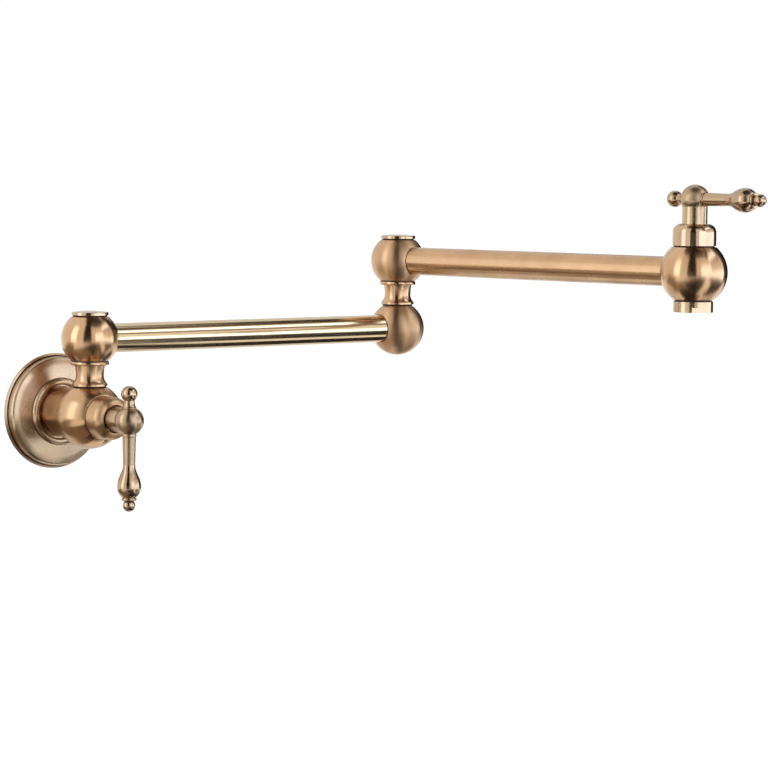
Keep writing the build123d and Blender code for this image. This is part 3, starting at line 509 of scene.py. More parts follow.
def add_modifier(piece, kind, **settings):
    """Adds a modifier and applies it."""
    select(piece)
    modifier = piece.modifiers.new(kind.lower(), kind)
    for key, value in settings.items():
        setattr(modifier, key, value)
    bpy.ops.object.modifier_apply(modifier=modifier.name)


def combined(piece, other, operation="DIFFERENCE"):
    """Takes the other's space out of the piece, or adds it."""
    add_modifier(piece, "BOOLEAN", operation=operation, solver="EXACT", object=other)
    bpy.data.objects.remove(other)
    return piece


def column(seat, radius, low, high, sides=ROUND_STEPS):
    """A solid column along the seat's axis, from one height to another."""
    deselect()
    bpy.ops.mesh.primitive_cylinder_add(
        vertices=sides,
        radius=radius,
        depth=high - low,
        location=seat.at(0, (low + high) / 2),
        rotation=seat.axis.to_track_quat("Z", "Y").to_euler(),
    )
    return bpy.context.object


def drilled(piece, seat, radius, low, high):
    """Cuts a round hole along the seat's axis, from one height to another."""
    return combined(piece, column(seat, radius, low, high))


def socketed(piece, seat, ball, start):
    """Cuts the hole for an arm's tube into a ball, with a shadow ring round its mouth."""
    arm = bpy.context.scene.pot_filler.arm
    groove = bpy.context.scene.pot_filler.groove
    hole = arm.tube + arm.gap
    mouth = flat_radius(ball, hole)
    drilled(piece, seat, hole, start, ball + arm.wall)
    return drilled(piece, seat, hole + groove.ring, mouth - groove.height, ball + arm.wall)


def softened(piece, edge=EDGE, steps=3):
    """Breaks the sharp edges, as a lathe hand does."""
    add_modifier(piece, "BEVEL", width=edge, segments=steps, limit_method="ANGLE")
    return piece


def finished(piece, material):
    """Smooths the shading, keeps flats flat and gives the piece its material."""
    select(piece)
    bpy.ops.object.shade_smooth_by_angle(angle=SMOOTH_ANGLE)
    add_modifier(piece, "WEIGHTED_NORMAL", keep_sharp=True)
    piece.data.materials.clear()
    piece.data.materials.append(material)
    return piece


def shade_grooves(piece, seat, low, high, inner, outer):
    """Paints shade on the faces of a groove, which lie between these heights and radii: a nearly black second
    material.
    """
    piece.data.materials.append(bpy.data.materials.get("dark_wax") or grained("dark_wax"))
    slack = 0.02 * MM
    for face in piece.data.polygons:
        offset = face.center - seat.origin
        height = offset.dot(seat.axis)
        radius = (offset - seat.axis * height).length
        if low - slack < height < high + slack and inner - slack < radius < outer + slack:
            face.material_index = len(piece.data.materials) - 1


def stand_for(piece, slot, *nodes):
    """The piece rides with these nodes of the frame, in their place."""
    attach(piece, BODY_OF[nodes[0]])
    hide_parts(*nodes)


# ------------------------------------------------------------------ materials
def feed(node, inputs):
    """Gives a node its inputs: fixed values, or links to other nodes' outputs."""
    for socket, value in inputs.items():
        if isinstance(value, bpy.types.NodeSocket):
            node.id_data.links.new(value, node.inputs[socket])
        else:
            node.inputs[socket].default_value = value


def add_node(tree, kind, inputs, output=0, **settings):
    """Adds a node with its settings and inputs, and gives the output that the next one takes."""
    node = tree.nodes.new(f"ShaderNode{kind}")
    for key, value in settings.items():
        setattr(node, key, value)
    feed(node, inputs)
    return node.outputs[output]


def new_material(name):
    """An empty material, and its shader."""
    material = bpy.data.materials.new(name)
    material.use_nodes = True
    return material, material.node_tree, material.node_tree.nodes["Principled BSDF"]


def blend(tree, share, low, high):
    """A colour between two, by a share from 0 to 1."""
    colours = {"A": (*low, 1), "B": (*high, 1)}
    return add_node(tree, "Mix", {"Factor": share, **colours}, "Result", data_type="RGBA")


def turned_brass(name, seat, colours, roughness, grain, depth, stretch):
    """Lacquered brass, brushed on the lathe: fine rings round the axis, which draw a highlight
    out across them, and a tone that drifts a little from place to place."""
    material, tree, shader = new_material(name)
    place = add_node(tree, "TexCoord", {}, "Object")
    offset = add_node(tree, "VectorMath", {0: place, 1: seat.origin}, operation="SUBTRACT")
    way = add_node(tree, "VectorMath", {0: seat.axis, 1: offset}, operation="CROSS_PRODUCT")
    height = add_node(
        tree, "VectorMath", {0: offset, 1: seat.axis}, "Value", operation="DOT_PRODUCT"
    )
    radius = add_node(tree, "VectorMath", {0: way}, "Value", operation="LENGTH")
    drift = add_node(tree, "TexNoise", {"Vector": place, "Scale": 1 / DRIFT, "Detail": 2.0})
    # The streaks are a few millimetres long, and drawn three times as coarse as the real grit.
    streak = add_node(tree, "Math", {0: drift, 1: 30 * grain}, operation="MULTIPLY")
    rings = add_node(tree, "CombineXYZ", {"X": height, "Y": radius, "Z": streak})
    lines = add_node(tree, "TexNoise", {"Vector": rings, "Scale": 1 / grain, "Detail": 3.0})
    bump = add_node(tree, "Bump", {"Height": lines, "Strength": 1.0, "Distance": depth})
    deeper = add_node(
        tree, "MapRange", {"Value": drift, "From Min": 0.35, "From Max": 0.7, "To Max": 0.6}
    )
    streaked = add_node(tree, "Math", {0: lines, 1: deeper}, operation="MULTIPLY")
    base = blend(tree, streaked, *colours)
    rough = add_node(tree, "MapRange", {
        "Value": drift, "From Min": 0.3, "From Max": 0.7,
        "To Min": roughness * 0.9, "To Max": roughness * 1.15,
    })
    tangent = add_node(
        tree, "VectorTransform", {"Vector": way},
        vector_type="VECTOR", convert_from="OBJECT", convert_to="WORLD",
    )
    feed(shader, {
        "Base Color": base, "Roughness": rough, "Normal": bump, "Tangent": tangent,
        "Metallic": 1.0, "Anisotropic": stretch, "Anisotropic Rotation": 0.25,
        "Coat Weight": 0.4, "Coat Roughness": roughness * 0.7,
    })
    return material


# The finishes of the brass: pale and deep tone, roughness, grain and its depth in millimetres, and
# how far a highlight is drawn out across the rings.
BRASS_FINISHES = {
    # The balls and spools: soft bands of light, in a warm bronze tone
    "brushed_brass": ("brass", "brass_deep", 0.23, 0.3, 0.001, 0.85),
    # The flange: the same on a pressed sheet, paler where it is rubbed
    "pressed_brass": ("cast", "brass_deep", 0.28, 0.3, 0.001, 0.85),
    # The spout's cup and the hubs' necks: buffed closer, so their bands are sharper and paler
    "cast_brass": ("cast", "cast_deep", 0.26, 0.3, 0.0008, 0.9),
    # Levers, finials and hubs: a darker tone
    "handle_brass": ("handle", "handle_deep", 0.2, 0.3, 0.001, 0.85),
    # The lower arm: nearly a mirror, with a pale champagne tone
    "polished_brass": ("polish", "polish_deep", 0.16, 0.25, 0.0005, 0.5),
    # Lids and aerator: nearly a mirror, in the tone of the spout's cup
    "buffed_brass": ("cast", "cast_deep", 0.22, 0.25, 0.0008, 0.85),
    # The upper arm: an even satin in the warm bronze tone
    "satin_brass": ("brass", "brass_deep", 0.28, 0.3, 0.0006, 0.8),
}
# Places that are rougher or smoother than their finish
ROUGHNESS = {
    "wall_cup": 0.34,
    "outlet_cup": 0.2,
    "wall_hub": 0.3,
    "outlet_hub": 0.3,
    "shoulder_spool": 0.24,
    "elbow_spool": 0.24,
    "shoulder_ball": 0.21,
    "elbow_ball": 0.4,
    "round_ball": 0.4,
    "shoulder_lid": 0.14,
    "elbow_lid": 0.14,
}
# The other finishes: tone, grain and its depth in millimetres, roughness, how metallic it looks,
# and how far its tone varies.
PLAIN_FINISHES = {
    # Painted shade in the grooves: nearly black, with a faint metal gleam
    "dark_wax": ("stain", 0.3, 0.01, 0.55, 0.3, 0.3),
    # Moulded rings: soft black, half matt
    "nitrile_rubber": ("rubber", 0.3, 0.01, 0.55, 0.0, 0.12),
    # Pressed washers: brick red, matt and slightly fibrous
    "fibre_washer": ("fibre", 0.5, 0.03, 0.8, 0.0, 0.12),
    # The gasket on the wall: dark grey with open pores
    "foam_gasket": ("foam", 0.6, 0.15, 0.9, 0.0, 0.12),
    # The swivels' washers: dark brown, dull and smooth
    "acetal": ("acetal", 0.4, 0.004, 0.6, 0.0, 0.12),
    # The aerator's insert: white with a soft gloss
    "white_acetal": ("plastic", 0.4, 0.004, 0.4, 0.0, 0.12),
    # Lapped discs: an even, glossy white
    "alumina_ceramic": ("ceramic", 0.2, 0.001, 0.15, 0.0, 0.03),
    # The filter: bright wire
    "stainless_mesh": ("steel", 0.2, 0.01, 0.3, 1.0, 0.12),
    # Set screws: blackened, with a little of the steel showing
    "black_steel": ("screw", 0.2, 0.008, 0.4, 0.6, 0.12),
}


def brass(finish, place, seat):
    """One of the finishes of the brass, brushed round the seat's axis."""
    pale, deep, usual, grain, depth, stretch = BRASS_FINISHES[finish]
    tones = bpy.context.scene.pot_filler.finish
    colours = (getattr(tones, pale), getattr(tones, deep))
    roughness = ROUGHNESS.get(place, usual)
    return turned_brass(
        f"{finish}_{place}", seat, colours, roughness, grain * MM, depth * MM, stretch
    )


def grained(name):
    """A moulded or pressed surface: a fine grain in height, tone and gloss."""
    tone, grain, depth, roughness, metallic, spread = PLAIN_FINISHES[name]
    middle = getattr(bpy.context.scene.pot_filler.finish, tone)
    material, tree, shader = new_material(name)
    place = add_node(tree, "TexCoord", {}, "Object")
    noise = add_node(tree, "TexNoise", {"Vector": place, "Scale": 1 / (grain * MM), "Detail": 4.0})
    bump = add_node(tree, "Bump", {"Height": noise, "Strength": 1.0, "Distance": depth * MM})
    dark = tuple(c * (1 - spread) for c in middle)
    light = tuple(min(c * (1 + spread), 1) for c in middle)
    rough = add_node(tree, "MapRange", {
        "Value": noise, "To Min": roughness * 0.85, "To Max": min(roughness * 1.15, 1)
    })
    feed(shader, {
        "Base Color": blend(tree, noise, dark, light), "Roughness": rough, "Normal": bump,
        "Metallic": metallic,
    })
    return material


def background_rays(tree):
    """1 for the rays that show the white background: camera, mirror and glass rays."""
    seen = add_node(tree, "LightPath", {}, "Is Camera Ray")
    path = seen.node
    for kind in ("Is Glossy Ray", "Is Transmission Ray"):
        seen = add_node(tree, "Math", {0: seen, 1: path.outputs[kind]}, operation="MAXIMUM")
    return seen


# ------------------------------------------------------------------ pieces
class PieceOperator:
    """What the operators share: an undo step each."""

    bl_options = {"REGISTER", "UNDO"}


class POTFILLER_OT_flange(PieceOperator, bpy.types.Operator):
    """Model the wall flange"""

    bl_idname = "pot_filler.flange"
    bl_label = "Wall flange"

    def execute(self, context):
        size = context.scene.pot_filler.flange
        groove = context.scene.pot_filler.groove
        foot = (size.radius - size.lip_width, size.lip + size.lip_slope)
        inner = foot[0] - size.shell
        steep, gentle, flat = radians(82), radians(18), radians(3)  # slopes across the dome
        turn_end = (foot[0] - size.shoulder, size.shoulder_end)
        middle = (
            turn_end[0] - size.shoulder * sin(gentle), turn_end[1] - size.shoulder * cos(gentle)
        )
        dome = arc(middle, size.shoulder, pi / 2 - steep, pi / 2 - gentle)
        crest = (size.crest, size.dome)
        run = turn_end[0] - crest[0]
        leave = (-run * cos(gentle), run * sin(gentle))
        arrive = (-run * cos(flat), run * sin(flat))
        under = foot[1] - groove.ring
        slot = size.bead_outer + groove.ring
        slot_floor = size.bead_foot - groove.height
        outline = [(inner, 0), (size.radius, 0), (size.radius, size.lip), foot]
        outline += [(foot[0], under), (dome[0][0] + size.draft, under)]
        outline += dome
        outline += ease(turn_end, crest, leave, arrive)[1:]
        outline += [(slot, size.bead_foot - groove.ring * sin(flat)), (slot, slot_floor)]
        bead = ((size.bead_outer, slot_floor), (size.bead_inner, size.bead_end))
        outline += bow(*bead, size.bead_bulge, ARC_STEPS)
        outline += stairs(
            (size.bead_inner, size.dome), size.neck, size.neck_back, size.neck + size.neck_wall,
            size.dome - size.shell, size.crest,
        )
        back = ((size.crest, size.dome - size.shell), (inner, size.lip))
        outline += ease(*back, (run, 0), (0, -run))[1:]
        outline += [(inner, 0)]
        piece = softened(turned("flange", wall_seat, outline))
        finished(piece, brass("pressed_brass", "flange", wall_seat))
        # Painted shade, nearly black, in the groove under the lip and in the slot round the bead
        shade_grooves(piece, wall_seat, 0, foot[1] - groove.ring / 2, dome[0][0], foot[0])
        shade_grooves(piece, wall_seat, 0, slot_floor + groove.ring, size.bead_outer, slot)
        stand_for(piece, "brushed_brass", "wall_flange")
        return {"FINISHED"}


class POTFILLER_OT_inlet(PieceOperator, bpy.types.Operator):
    """Model the threaded inlet nipple"""

    bl_idname = "pot_filler.inlet"
    bl_label = "Inlet nipple"

    def execute(self, context):
        size = context.scene.pot_filler.inlet
        root = size.radius - size.depth
        outline = [(size.bore, -size.reach), (root, -size.reach)]
        for turn in range(int(size.reach / size.pitch)):
            low = -size.reach + turn * size.pitch
            outline += [
                (size.radius - size.depth * deep, low + size.pitch * share)
                for share, deep in THREAD_FORM
            ]
        outline += stairs((root, 0), size.radius, size.front, size.bore, -size.reach)
        piece = turned("nipple", wall_seat, outline)
        nut = column(wall_seat, size.hexagon / sqrt(3), 0, size.hexagon_height, 6)
        settle(nut)
        drilled(nut, wall_seat, size.radius, -size.pitch, size.front)
        softened(nut, NUT_EDGE)
        combined(piece, nut, "UNION")
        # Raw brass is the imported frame's own material, here and on the pieces inside.
        finished(piece, bpy.data.materials["raw_brass"])
        stand_for(piece, "raw_brass", "inlet_nipple")
        return {"FINISHED"}


class POTFILLER_OT_valves(PieceOperator, bpy.types.Operator):
    """Model the wall valve's body and the spout valve's body"""

    bl_idname = "pot_filler.valves"
    bl_label = "Valve bodies"

    def execute(self, context):
        size = context.scene.pot_filler.valve
        arm = context.scene.pot_filler.arm
        rim = (flat_radius(size.ball, size.bonnet_seat), size.bonnet_seat)
        top = size.bonnet_seat + size.upstand_height
        head = (size.upstand, top, size.pocket, size.pocket_floor, size.port)
        back = size.barrel_start - wall_valve.origin.length
        crease = -flat_radius(size.ball, size.barrel)
        outline = [(size.socket, back), (size.barrel, back)]
        outline += ball_arc(size.ball, crease, size.bonnet_seat)
        outline += stairs(rim, *head, size.socket_end, size.socket, back)[1:]
        piece = softened(turned("wall_valve", wall_valve, outline))
        trimmed(piece, Seat(wall_valve.origin, UP, lower_way), size.collar_seat)
        finished(piece, brass("brushed_brass", "wall_valve", wall_valve))
        stand_for(piece, "brushed_brass", "wall_valve_body")

        foot = -size.aerator_seat
        outline = [(size.spigot, foot)]
        outline += ball_arc(size.ball, foot, size.bonnet_seat)
        outline += stairs(rim, *head, foot + size.spigot_depth, size.spigot, foot)[1:]
        piece = turned("spout_valve", outlet_valve, outline)
        socketed(piece, outlet_valve.facing(-upper_way), size.ball, arm.valve_start)
        softened(piece)
        finished(piece, brass("brushed_brass", "spout_valve", outlet_valve))
        stand_for(piece, "brushed_brass", "outlet_valve_body")
        return {"FINISHED"}


class POTFILLER_OT_bonnets(PieceOperator, bpy.types.Operator):
    """Model the cups over the two cartridges"""

    bl_idname = "pot_filler.bonnets"
    bl_label = "Bonnets"

    def execute(self, context):
        size = context.scene.pot_filler.valve
        groove = context.scene.pot_filler.groove
        inner = size.upstand + size.bonnet_gap
        side_top = size.bonnet_seat + size.bonnet_side
        top = size.bonnet_seat + size.bonnet_height
        mouth = size.mouth + size.mouth_edge
        run = size.bonnet - mouth
        rise = top - side_top
        radius = (run**2 + rise**2) / (2 * run)
        middle = (size.bonnet - radius, side_top)
        waist = size.bonnet - groove.depth
        ledge = size.bonnet_seat + groove.height
        outline = stairs((inner, size.bonnet_seat), waist, ledge, size.bonnet)
        outline += arc(middle, radius, 0, atan2(rise, mouth - middle[0]))
        outline += [
            (size.mouth, top - size.mouth_edge),
            (size.mouth, top - size.bonnet_shell),
            (inner, side_top - size.bonnet_slope),
            (inner, size.bonnet_seat),
        ]
        for side, seat in (("wall", wall_valve), ("outlet", outlet_valve)):
            piece = softened(turned(f"{side}_cup", seat, outline), CUP_EDGE)
            finish = "brushed_brass" if side == "wall" else "cast_brass"
            finished(piece, brass(finish, f"{side}_cup", seat))
            # Painted shade, nearly black, in the groove at the cup's foot
            shade_grooves(piece, seat, size.bonnet_seat, ledge, inner, waist)
            stand_for(piece, "brushed_brass", f"{side}_bonnet")
        return {"FINISHED"}


class POTFILLER_OT_handles(PieceOperator, bpy.types.Operator):
    """Model the hub, lever and finial of each handle"""

    bl_idname = "pot_filler.handles"
    bl_label = "Handles"

    def execute(self, context):
        size = context.scene.pot_filler.handle
        for side, valve in (("wall", wall_valve), ("outlet", outlet_handle)):
            seat = valve.raised(size.height)
            self.make_hub(size, side, valve, seat)
            self.make_lever(size, side, seat.facing(seat.side))
            self.make_finial(size, side, seat.facing(-seat.side))
        return {"FINISHED"}

    def make_hub(self, size, side, valve, seat):
        neck_top = -flat_radius(size.hub, size.neck)
        foot = size.neck_foot - size.height
        outline = [(0, foot), (size.neck, foot)]
        outline += ball_arc(size.hub, neck_top, size.hub)
        piece = softened(turned(f"{side}_hub", seat, outline))
        trimmed(piece, seat.facing(seat.side), flat_radius(size.hub, size.collar))
        trimmed(piece, seat.facing(-seat.side), flat_radius(size.hub, size.finial_root))
        screw_seat = valve.raised(size.screw_at)
        screw_seat = screw_seat.facing(screw_seat.axis.cross(screw_seat.side))
        drilled(piece, screw_seat, size.screw, size.screw_depth, size.neck + CUT_PAST)
        # The ball is brushed round the lever's axis, and the neck round its own.
        finished(piece, brass("handle_brass", f"{side}_hub", seat.facing(seat.side)))
        piece.data.materials.append(brass("cast_brass", f"{side}_neck", seat))
        for face in piece.data.polygons:
            if (face.center - seat.origin).dot(seat.axis) < neck_top:
                face.material_index = 1
        stand_for(piece, "brushed_brass", f"{side}_handle_hub")

    def make_lever(self, size, side, seat):
        foot = flat_radius(size.hub, size.collar)
        collar_end = foot + size.collar_length
        bulb_turn = asin(flat_radius(size.bulb, size.tip) / size.bulb)
        bulb_end = size.bulb_at + size.bulb * sin(bulb_turn)
        ring_start = bulb_end + size.ring_step
        ring_end = ring_start + size.ring_width
        swell = size.bulb_at - size.waist_at
        outline = stairs((0, size.spigot_end), size.spigot, foot, size.collar, collar_end)
        outline += [(size.root, collar_end + size.collar_slope)]
        waist, bulb = (size.waist, size.waist_at), (size.bulb, size.bulb_at)
        outline += ease(waist, bulb, (0, swell * 1.2), (0, swell * 1.4))
        outline += arc((0, size.bulb_at), size.bulb, 0, bulb_turn)[1:]
        outline += [(size.tip, ring_start)]
        outline += bow((size.ring, ring_start), (size.ring, ring_end), size.ring_bulge)
        outline += [(size.tip_neck, ring_end)]
        tip_turn = asin(flat_radius(size.tip, size.tip_neck) / size.tip)
        outline += arc((0, size.tip_at), size.tip, -tip_turn, pi / 2)
        piece = softened(turned(f"{side}_lever", seat, outline, ROUND_STEPS // 2), LEVER_EDGE, 2)
        finished(piece, brass("handle_brass", f"{side}_lever", seat))
        stand_for(piece, "brushed_brass", f"{side}_handle_lever")

    def make_finial(self, size, side, seat):
        foot = flat_radius(size.hub, size.finial_root)
        flare_start = (size.finial_root, foot + size.finial_rim)
        ball_turn = asin(flat_radius(size.finial_ball, size.finial_waist) / size.finial_ball)
        outline = stairs((0, size.spigot_end), size.spigot, foot, size.finial_root)
        waist = (size.finial_waist, size.finial_waist_at)
        rise = waist[1] - flare_start[1]
        outline += ease(flare_start, waist, (-size.finial_flare, 0.5 * rise), (0, rise))
        outline += arc((0, size.finial_ball_at), size.finial_ball, -ball_turn, pi / 2)
        piece = softened(turned(f"{side}_finial", seat, outline, ROUND_STEPS // 2), LEVER_EDGE, 2)
        finished(piece, brass("handle_brass", f"{side}_finial", seat))
        stand_for(piece, "brushed_brass", f"{side}_handle_finial")


class POTFILLER_OT_swivels(PieceOperator, bpy.types.Operator):
    """Model the collar, ball and cap of each swivel, and the elbow's lower ball"""

    bl_idname = "pot_filler.swivels"
    bl_label = "Swivels"

    def execute(self, context):
        size = context.scene.pot_filler.swivel
        arm = context.scene.pot_filler.arm
        for joint, seat, way in (
            ("shoulder", shoulder, lower_way), ("elbow", elbow, upper_way)
        ):
            self.make_collar(size, joint, seat)
            self.make_ball(size, arm, joint, seat, way)
            self.make_cap(size, joint, seat)
        outline = ball_arc(size.ball, -size.ball, size.elbow_seat) + [(0, size.elbow_seat)]
        piece = turned("elbow_round_ball", elbow_low, outline)
        socketed(piece, elbow_low.facing(-lower_way), size.ball, arm.swivel_start)
        softened(piece)
        finished(piece, brass("brushed_brass", "round_ball", elbow_low))
        stand_for(piece, "brushed_brass", "elbow_lower_ball")
        return {"FINISHED"}

    def make_collar(self, size, joint, seat):
        groove = bpy.context.scene.pot_filler.groove
        top = -size.foot - size.washer
        foot = top - size.collar_height
        rim = size.collar_top - size.edge
        band = top - size.collar_band
        ledge = foot + groove.height
        low = ledge + size.foot_band
        waist = (size.collar_waist, foot + size.collar_waist_at)
        inset = size.collar_foot - groove.depth
        outline = stairs((size.bore, foot), inset, ledge, size.collar_foot)
        outline += reversed(hollow(waist, (size.collar_foot, low)))
        outline += hollow(waist, (size.collar_neck, band))[1:]
        outline += bow((rim, band), (rim, top), size.edge)
        outline += [(size.bore, top), (size.bore, foot)]
        piece = softened(turned(f"{joint}_spool", seat, outline), SPOOL_EDGE)
        finished(piece, brass("brushed_brass", f"{joint}_spool", seat))
        # Painted shade, nearly black, in the groove at the spool's foot
        shade_grooves(piece, seat, foot, ledge, size.bore, inset)
        stand_for(piece, "polished_brass", f"{joint}_collar")

    def make_ball(self, size, arm, joint, seat, way):
        rim = (flat_radius(size.ball, size.cap_seat), size.cap_seat)
        outline = [(size.bore, -size.foot)]
        outline += ball_arc(size.ball, -size.foot, size.cap_seat)
        outline += stairs(rim, size.pocket, size.pocket_floor, size.bore, -size.foot)[1:]
        piece = turned(f"{joint}_swivel_ball", seat, outline)
        socketed(piece, seat.facing(way), size.ball, arm.swivel_start)
        softened(piece)
        finished(piece, brass("brushed_brass", f"{joint}_ball", seat))
        stand_for(piece, "brushed_brass", f"{joint}_ball")

    def make_cap(self, size, joint, seat):
        groove = bpy.context.scene.pot_filler.groove
        ledge = size.cap_seat + groove.height
        edge = ledge + size.cap_side
        rim = size.cap - size.edge
        waist = size.cap - groove.depth
        outline = stairs(
            (0, size.cap_seat), size.skirt - size.skirt_wall, size.cap_seat - size.skirt_height,
            size.skirt, size.cap_seat, waist, ledge, size.cap, edge - size.edge,
        )
        crown = bow((rim, edge), (-rim, edge), size.cap_dome, 2 * ARC_STEPS)
        outline += [point for point in crown if point[0] > MERGE_DISTANCE]
        outline += [(0, edge + size.cap_dome)]
        piece = softened(turned(f"{joint}_lid", seat, outline), LID_EDGE)
        finished(piece, brass("buffed_brass", f"{joint}_lid", seat))
        # Painted shade, nearly black, in the groove at the lid's foot
        shade_grooves(piece, seat, size.cap_seat, ledge, size.skirt, waist)
        stand_for(piece, "polished_brass", f"{joint}_cap")


class POTFILLER_OT_arms(PieceOperator, bpy.types.Operator):
    """Model the two arm tubes"""

    bl_idname = "pot_filler.arms"
    bl_label = "Arms"

    def execute(self, context):
        size = context.scene.pot_filler.arm
        for name, seat, end, finish in (
            ("lower_arm", lower_arm, size.swivel_start, "polished_brass"),
            ("upper_arm", upper_arm, size.valve_start, "satin_brass"),
        ):
            low, high = size.swivel_start, arm_span - end
            bore = size.tube - size.wall
            outline = stairs((bore, low), size.tube, high, bore, low)
            piece = softened(turned(f"{name}_pipe", seat, outline))
            finished(piece, brass(finish, name, seat))
            stand_for(piece, finish, f"{name}_tube")
        return {"FINISHED"}


class POTFILLER_OT_aerator(PieceOperator, bpy.types.Operator):
    """Model the aerator's housing"""

    bl_idname = "pot_filler.aerator"
    bl_label = "Aerator"

    def execute(self, context):
        size = context.scene.pot_filler.spout
        groove = context.scene.pot_filler.groove
        seat = outlet_valve.raised(-context.scene.pot_filler.valve.aerator_seat)
        foot = -size.height
        waist = size.radius - groove.depth
        outline = stairs(
            (size.lip_radius, foot), size.radius, -groove.height, waist, 0, size.spigot,
            size.spigot_height, size.bore, foot + size.lip, size.lip_radius, foot,
        )
        piece = turned("aerator_ring", seat, outline)
        flat_way = Matrix.Rotation(size.flat_turn, 3, UP) @ upper_way.normalized()
        for way in (flat_way, -flat_way):
            deselect()
            bpy.ops.mesh.primitive_cube_add(
                size=2 * size.radius,
                location=seat.at(0, foot + size.flat_height - size.radius)
                + way * (size.flat + size.radius),
                rotation=(0, 0, atan2(flat_way.y, flat_way.x)),
            )
            combined(piece, bpy.context.object)
        softened(piece, CUP_EDGE)
        finished(piece, brass("buffed_brass", "aerator", seat))
        # Painted shade, nearly black, in the groove at the aerator's top
        shade_grooves(piece, seat, -groove.height, 0, size.spigot, waist)
        stand_for(piece, "brushed_brass", "aerator_housing")
        return {"FINISHED"}


class POTFILLER_OT_inner_finishes(PieceOperator, bpy.types.Operator):
    """Give the pieces inside the tap their materials"""

    bl_idname = "pot_filler.inner_finishes"
    bl_label = "Inner finishes"

    def execute(self, context):
        slots = {part["node"]: part["material_slot"] for part in frame["record"]["subparts"]}
        coats = {name: grained(name) for name in PLAIN_FINISHES if name in slots.values()}
        for name, node in frame["nodes"].items():
            if slots[name] in coats:
                node.data.materials.clear()
                node.data.materials.append(coats[slots[name]])
        return {"FINISHED"}


# ------------------------------------------------------------------ stage
# What the brass sees round it. Flags and softboxes: degrees to the right of the camera, degrees
# above level, distance in metres, and the cloth, or the lamp's glow and tone.
FLAGS = (
    ("flag_behind_camera", (-24, 8), (-14, 85), 2.4, "dark_felt"),
    ("flag_back_right", (116, 156), (-25, 58), 2.4, "dark_felt"),
    ("flag_low_right", (156, 176), (-14, 22), 2.4, "dark_felt"),
    ("flag_back", (145, 215), (4, 50), 2.6, "grey_felt"),
    ("flag_high_right", (96, 118), (49, 64), 2.2, "tan_felt"),
    ("flag_gap", (62, 112), (27, 35), 2.2, "tan_felt"),
)
SOFTBOXES = (
    ("softbox_left", (-76, -52), (-8, 40), 2.3, 1.75, "left_lamp_tone"),
    ("softbox_front_right", (24, 60), (-8, 24), 2.3, 1.85, "lamp_tone"),
    ("softbox_right", (60, 114), (-12, 7), 2.3, 1.85, "lamp_tone"),
    ("softbox_high_right", (62, 112), (37, 47), 2.2, 2.4, "lamp_tone"),
)
# Cloths on the floor: metres from the part's middle, along the wall and out of it.
MATS = (
    ("floor_front", (-0.9, 0.1), (-2.2, -0.27), "dark_felt"),
    ("floor_front_1", (0.28, 2.2), (-0.46, -0.27), "dark_felt"),
    ("floor_front_2", (0.36, 2.2), (-0.65, -0.46), "dark_felt"),
    ("floor_front_3", (0.45, 2.2), (-0.84, -0.65), "dark_felt"),
    ("floor_front_4", (0.54, 2.2), (-2.2, -0.84), "dark_felt"),
    ("floor_left", (-0.28, 0.27), (-0.265, 0.1), "dark_felt"),
    ("floor_far_left", (-0.9, -0.285), (-0.265, 0.1), "tan_felt"),
    ("floor_side", (-0.9, -0.1), (0.105, 0.4), "tan_felt"),
    ("floor_right", (0.275, 0.8), (-0.06, 0.34), "dark_felt"),
    ("floor_under", (0.19, 0.275), (0.1, 0.34), "dark_felt"),
    ("floor_back", (-0.3, 0.6), (0.36, 1.0), "grey_felt"),
    ("floor_back_left", (-2.4, -0.35), (0.4, 1.6), "tan_felt"),
)
MAT_HEIGHT = 0.01
FLOOR_RADIUS = 12
DISC_STEPS = 96
SENSOR_WIDTH = 36  # millimetres
CANOPY = (45, 0.45, 1.5, 0.01, 0.85)  # degrees, then metres: distance, rise, inner and outer radius


class Studio:
    """Directions round the part, turned from the way to the camera, and heights above level."""

    def __init__(self, middle, yaw):
        self.middle = middle
        self.to_camera = Vector((sin(yaw), -cos(yaw), 0))
        self.right = Vector((cos(yaw), sin(yaw), 0))

    def way(self, turn):
        return self.to_camera * cos(radians(turn)) + self.right * sin(radians(turn))

    def place(self, turn, height, distance):
        """The point that lies so far off, so many degrees to the right and above level."""
        return self.middle + self.way(turn) * distance + UP * distance * tan(radians(height))

    def span(self, turns, heights, distance):
        """Place, heading, width and height of an upright board that fills these angles."""
        turn = (turns[0] + turns[1]) / 2
        width = 2 * distance * tan(radians(turns[1] - turns[0]) / 2)
        low, high = (distance * tan(radians(height)) for height in heights)
        place = self.place(turn, 0, distance) + UP * (low + high) / 2
        return place, (-self.way(turn)).to_track_quat("-Z", "Y").to_euler(), width, high - low

    def softbox(self, name, turns, heights, distance, glow, tone):
        """A lamp behind a white cloth. Glow is its brightness, where a white wall's is 1."""
        place, heading, width, height = self.span(turns, heights, distance)
        bpy.ops.object.light_add(type="AREA", location=place, rotation=heading)
        lamp = bpy.context.object
        lamp.name = name
        lamp.data.shape = "RECTANGLE"
        lamp.data.size = width
        lamp.data.size_y = height
        lamp.data.energy = glow * pi * width * height
        lamp.data.color = tone
        lamp.visible_camera = False

    def flag(self, name, turns, heights, distance, cloth):
        """A board with cloth, which only the metal sees."""
        self.board(name, cloth, *self.span(turns, heights, distance))

    def mat(self, name, x, y, height, cloth):
        """Cloth on the floor, between these places along the wall and out of it."""
        low = Vector((self.middle.x + x[0], self.middle.y + y[0], height))
        high = Vector((self.middle.x + x[1], self.middle.y + y[1], height))
        self.board(name, cloth, (low + high) / 2, (0, 0, 0), high.x - low.x, high.y - low.y)

    def board(self, name, cloth, place, heading, width, height):
        deselect()
        bpy.ops.mesh.primitive_plane_add(size=1, location=place, rotation=heading)
        board = bpy.context.object
        board.scale = (width, height, 1)
        settle(board)
        self.hang(board, name, cloth)

    def hang(self, board, name, cloth):
        board.name = name
        board.data.materials.append(cloth)
        board.visible_camera = False
        board.visible_diffuse = False
        board.visible_shadow = False


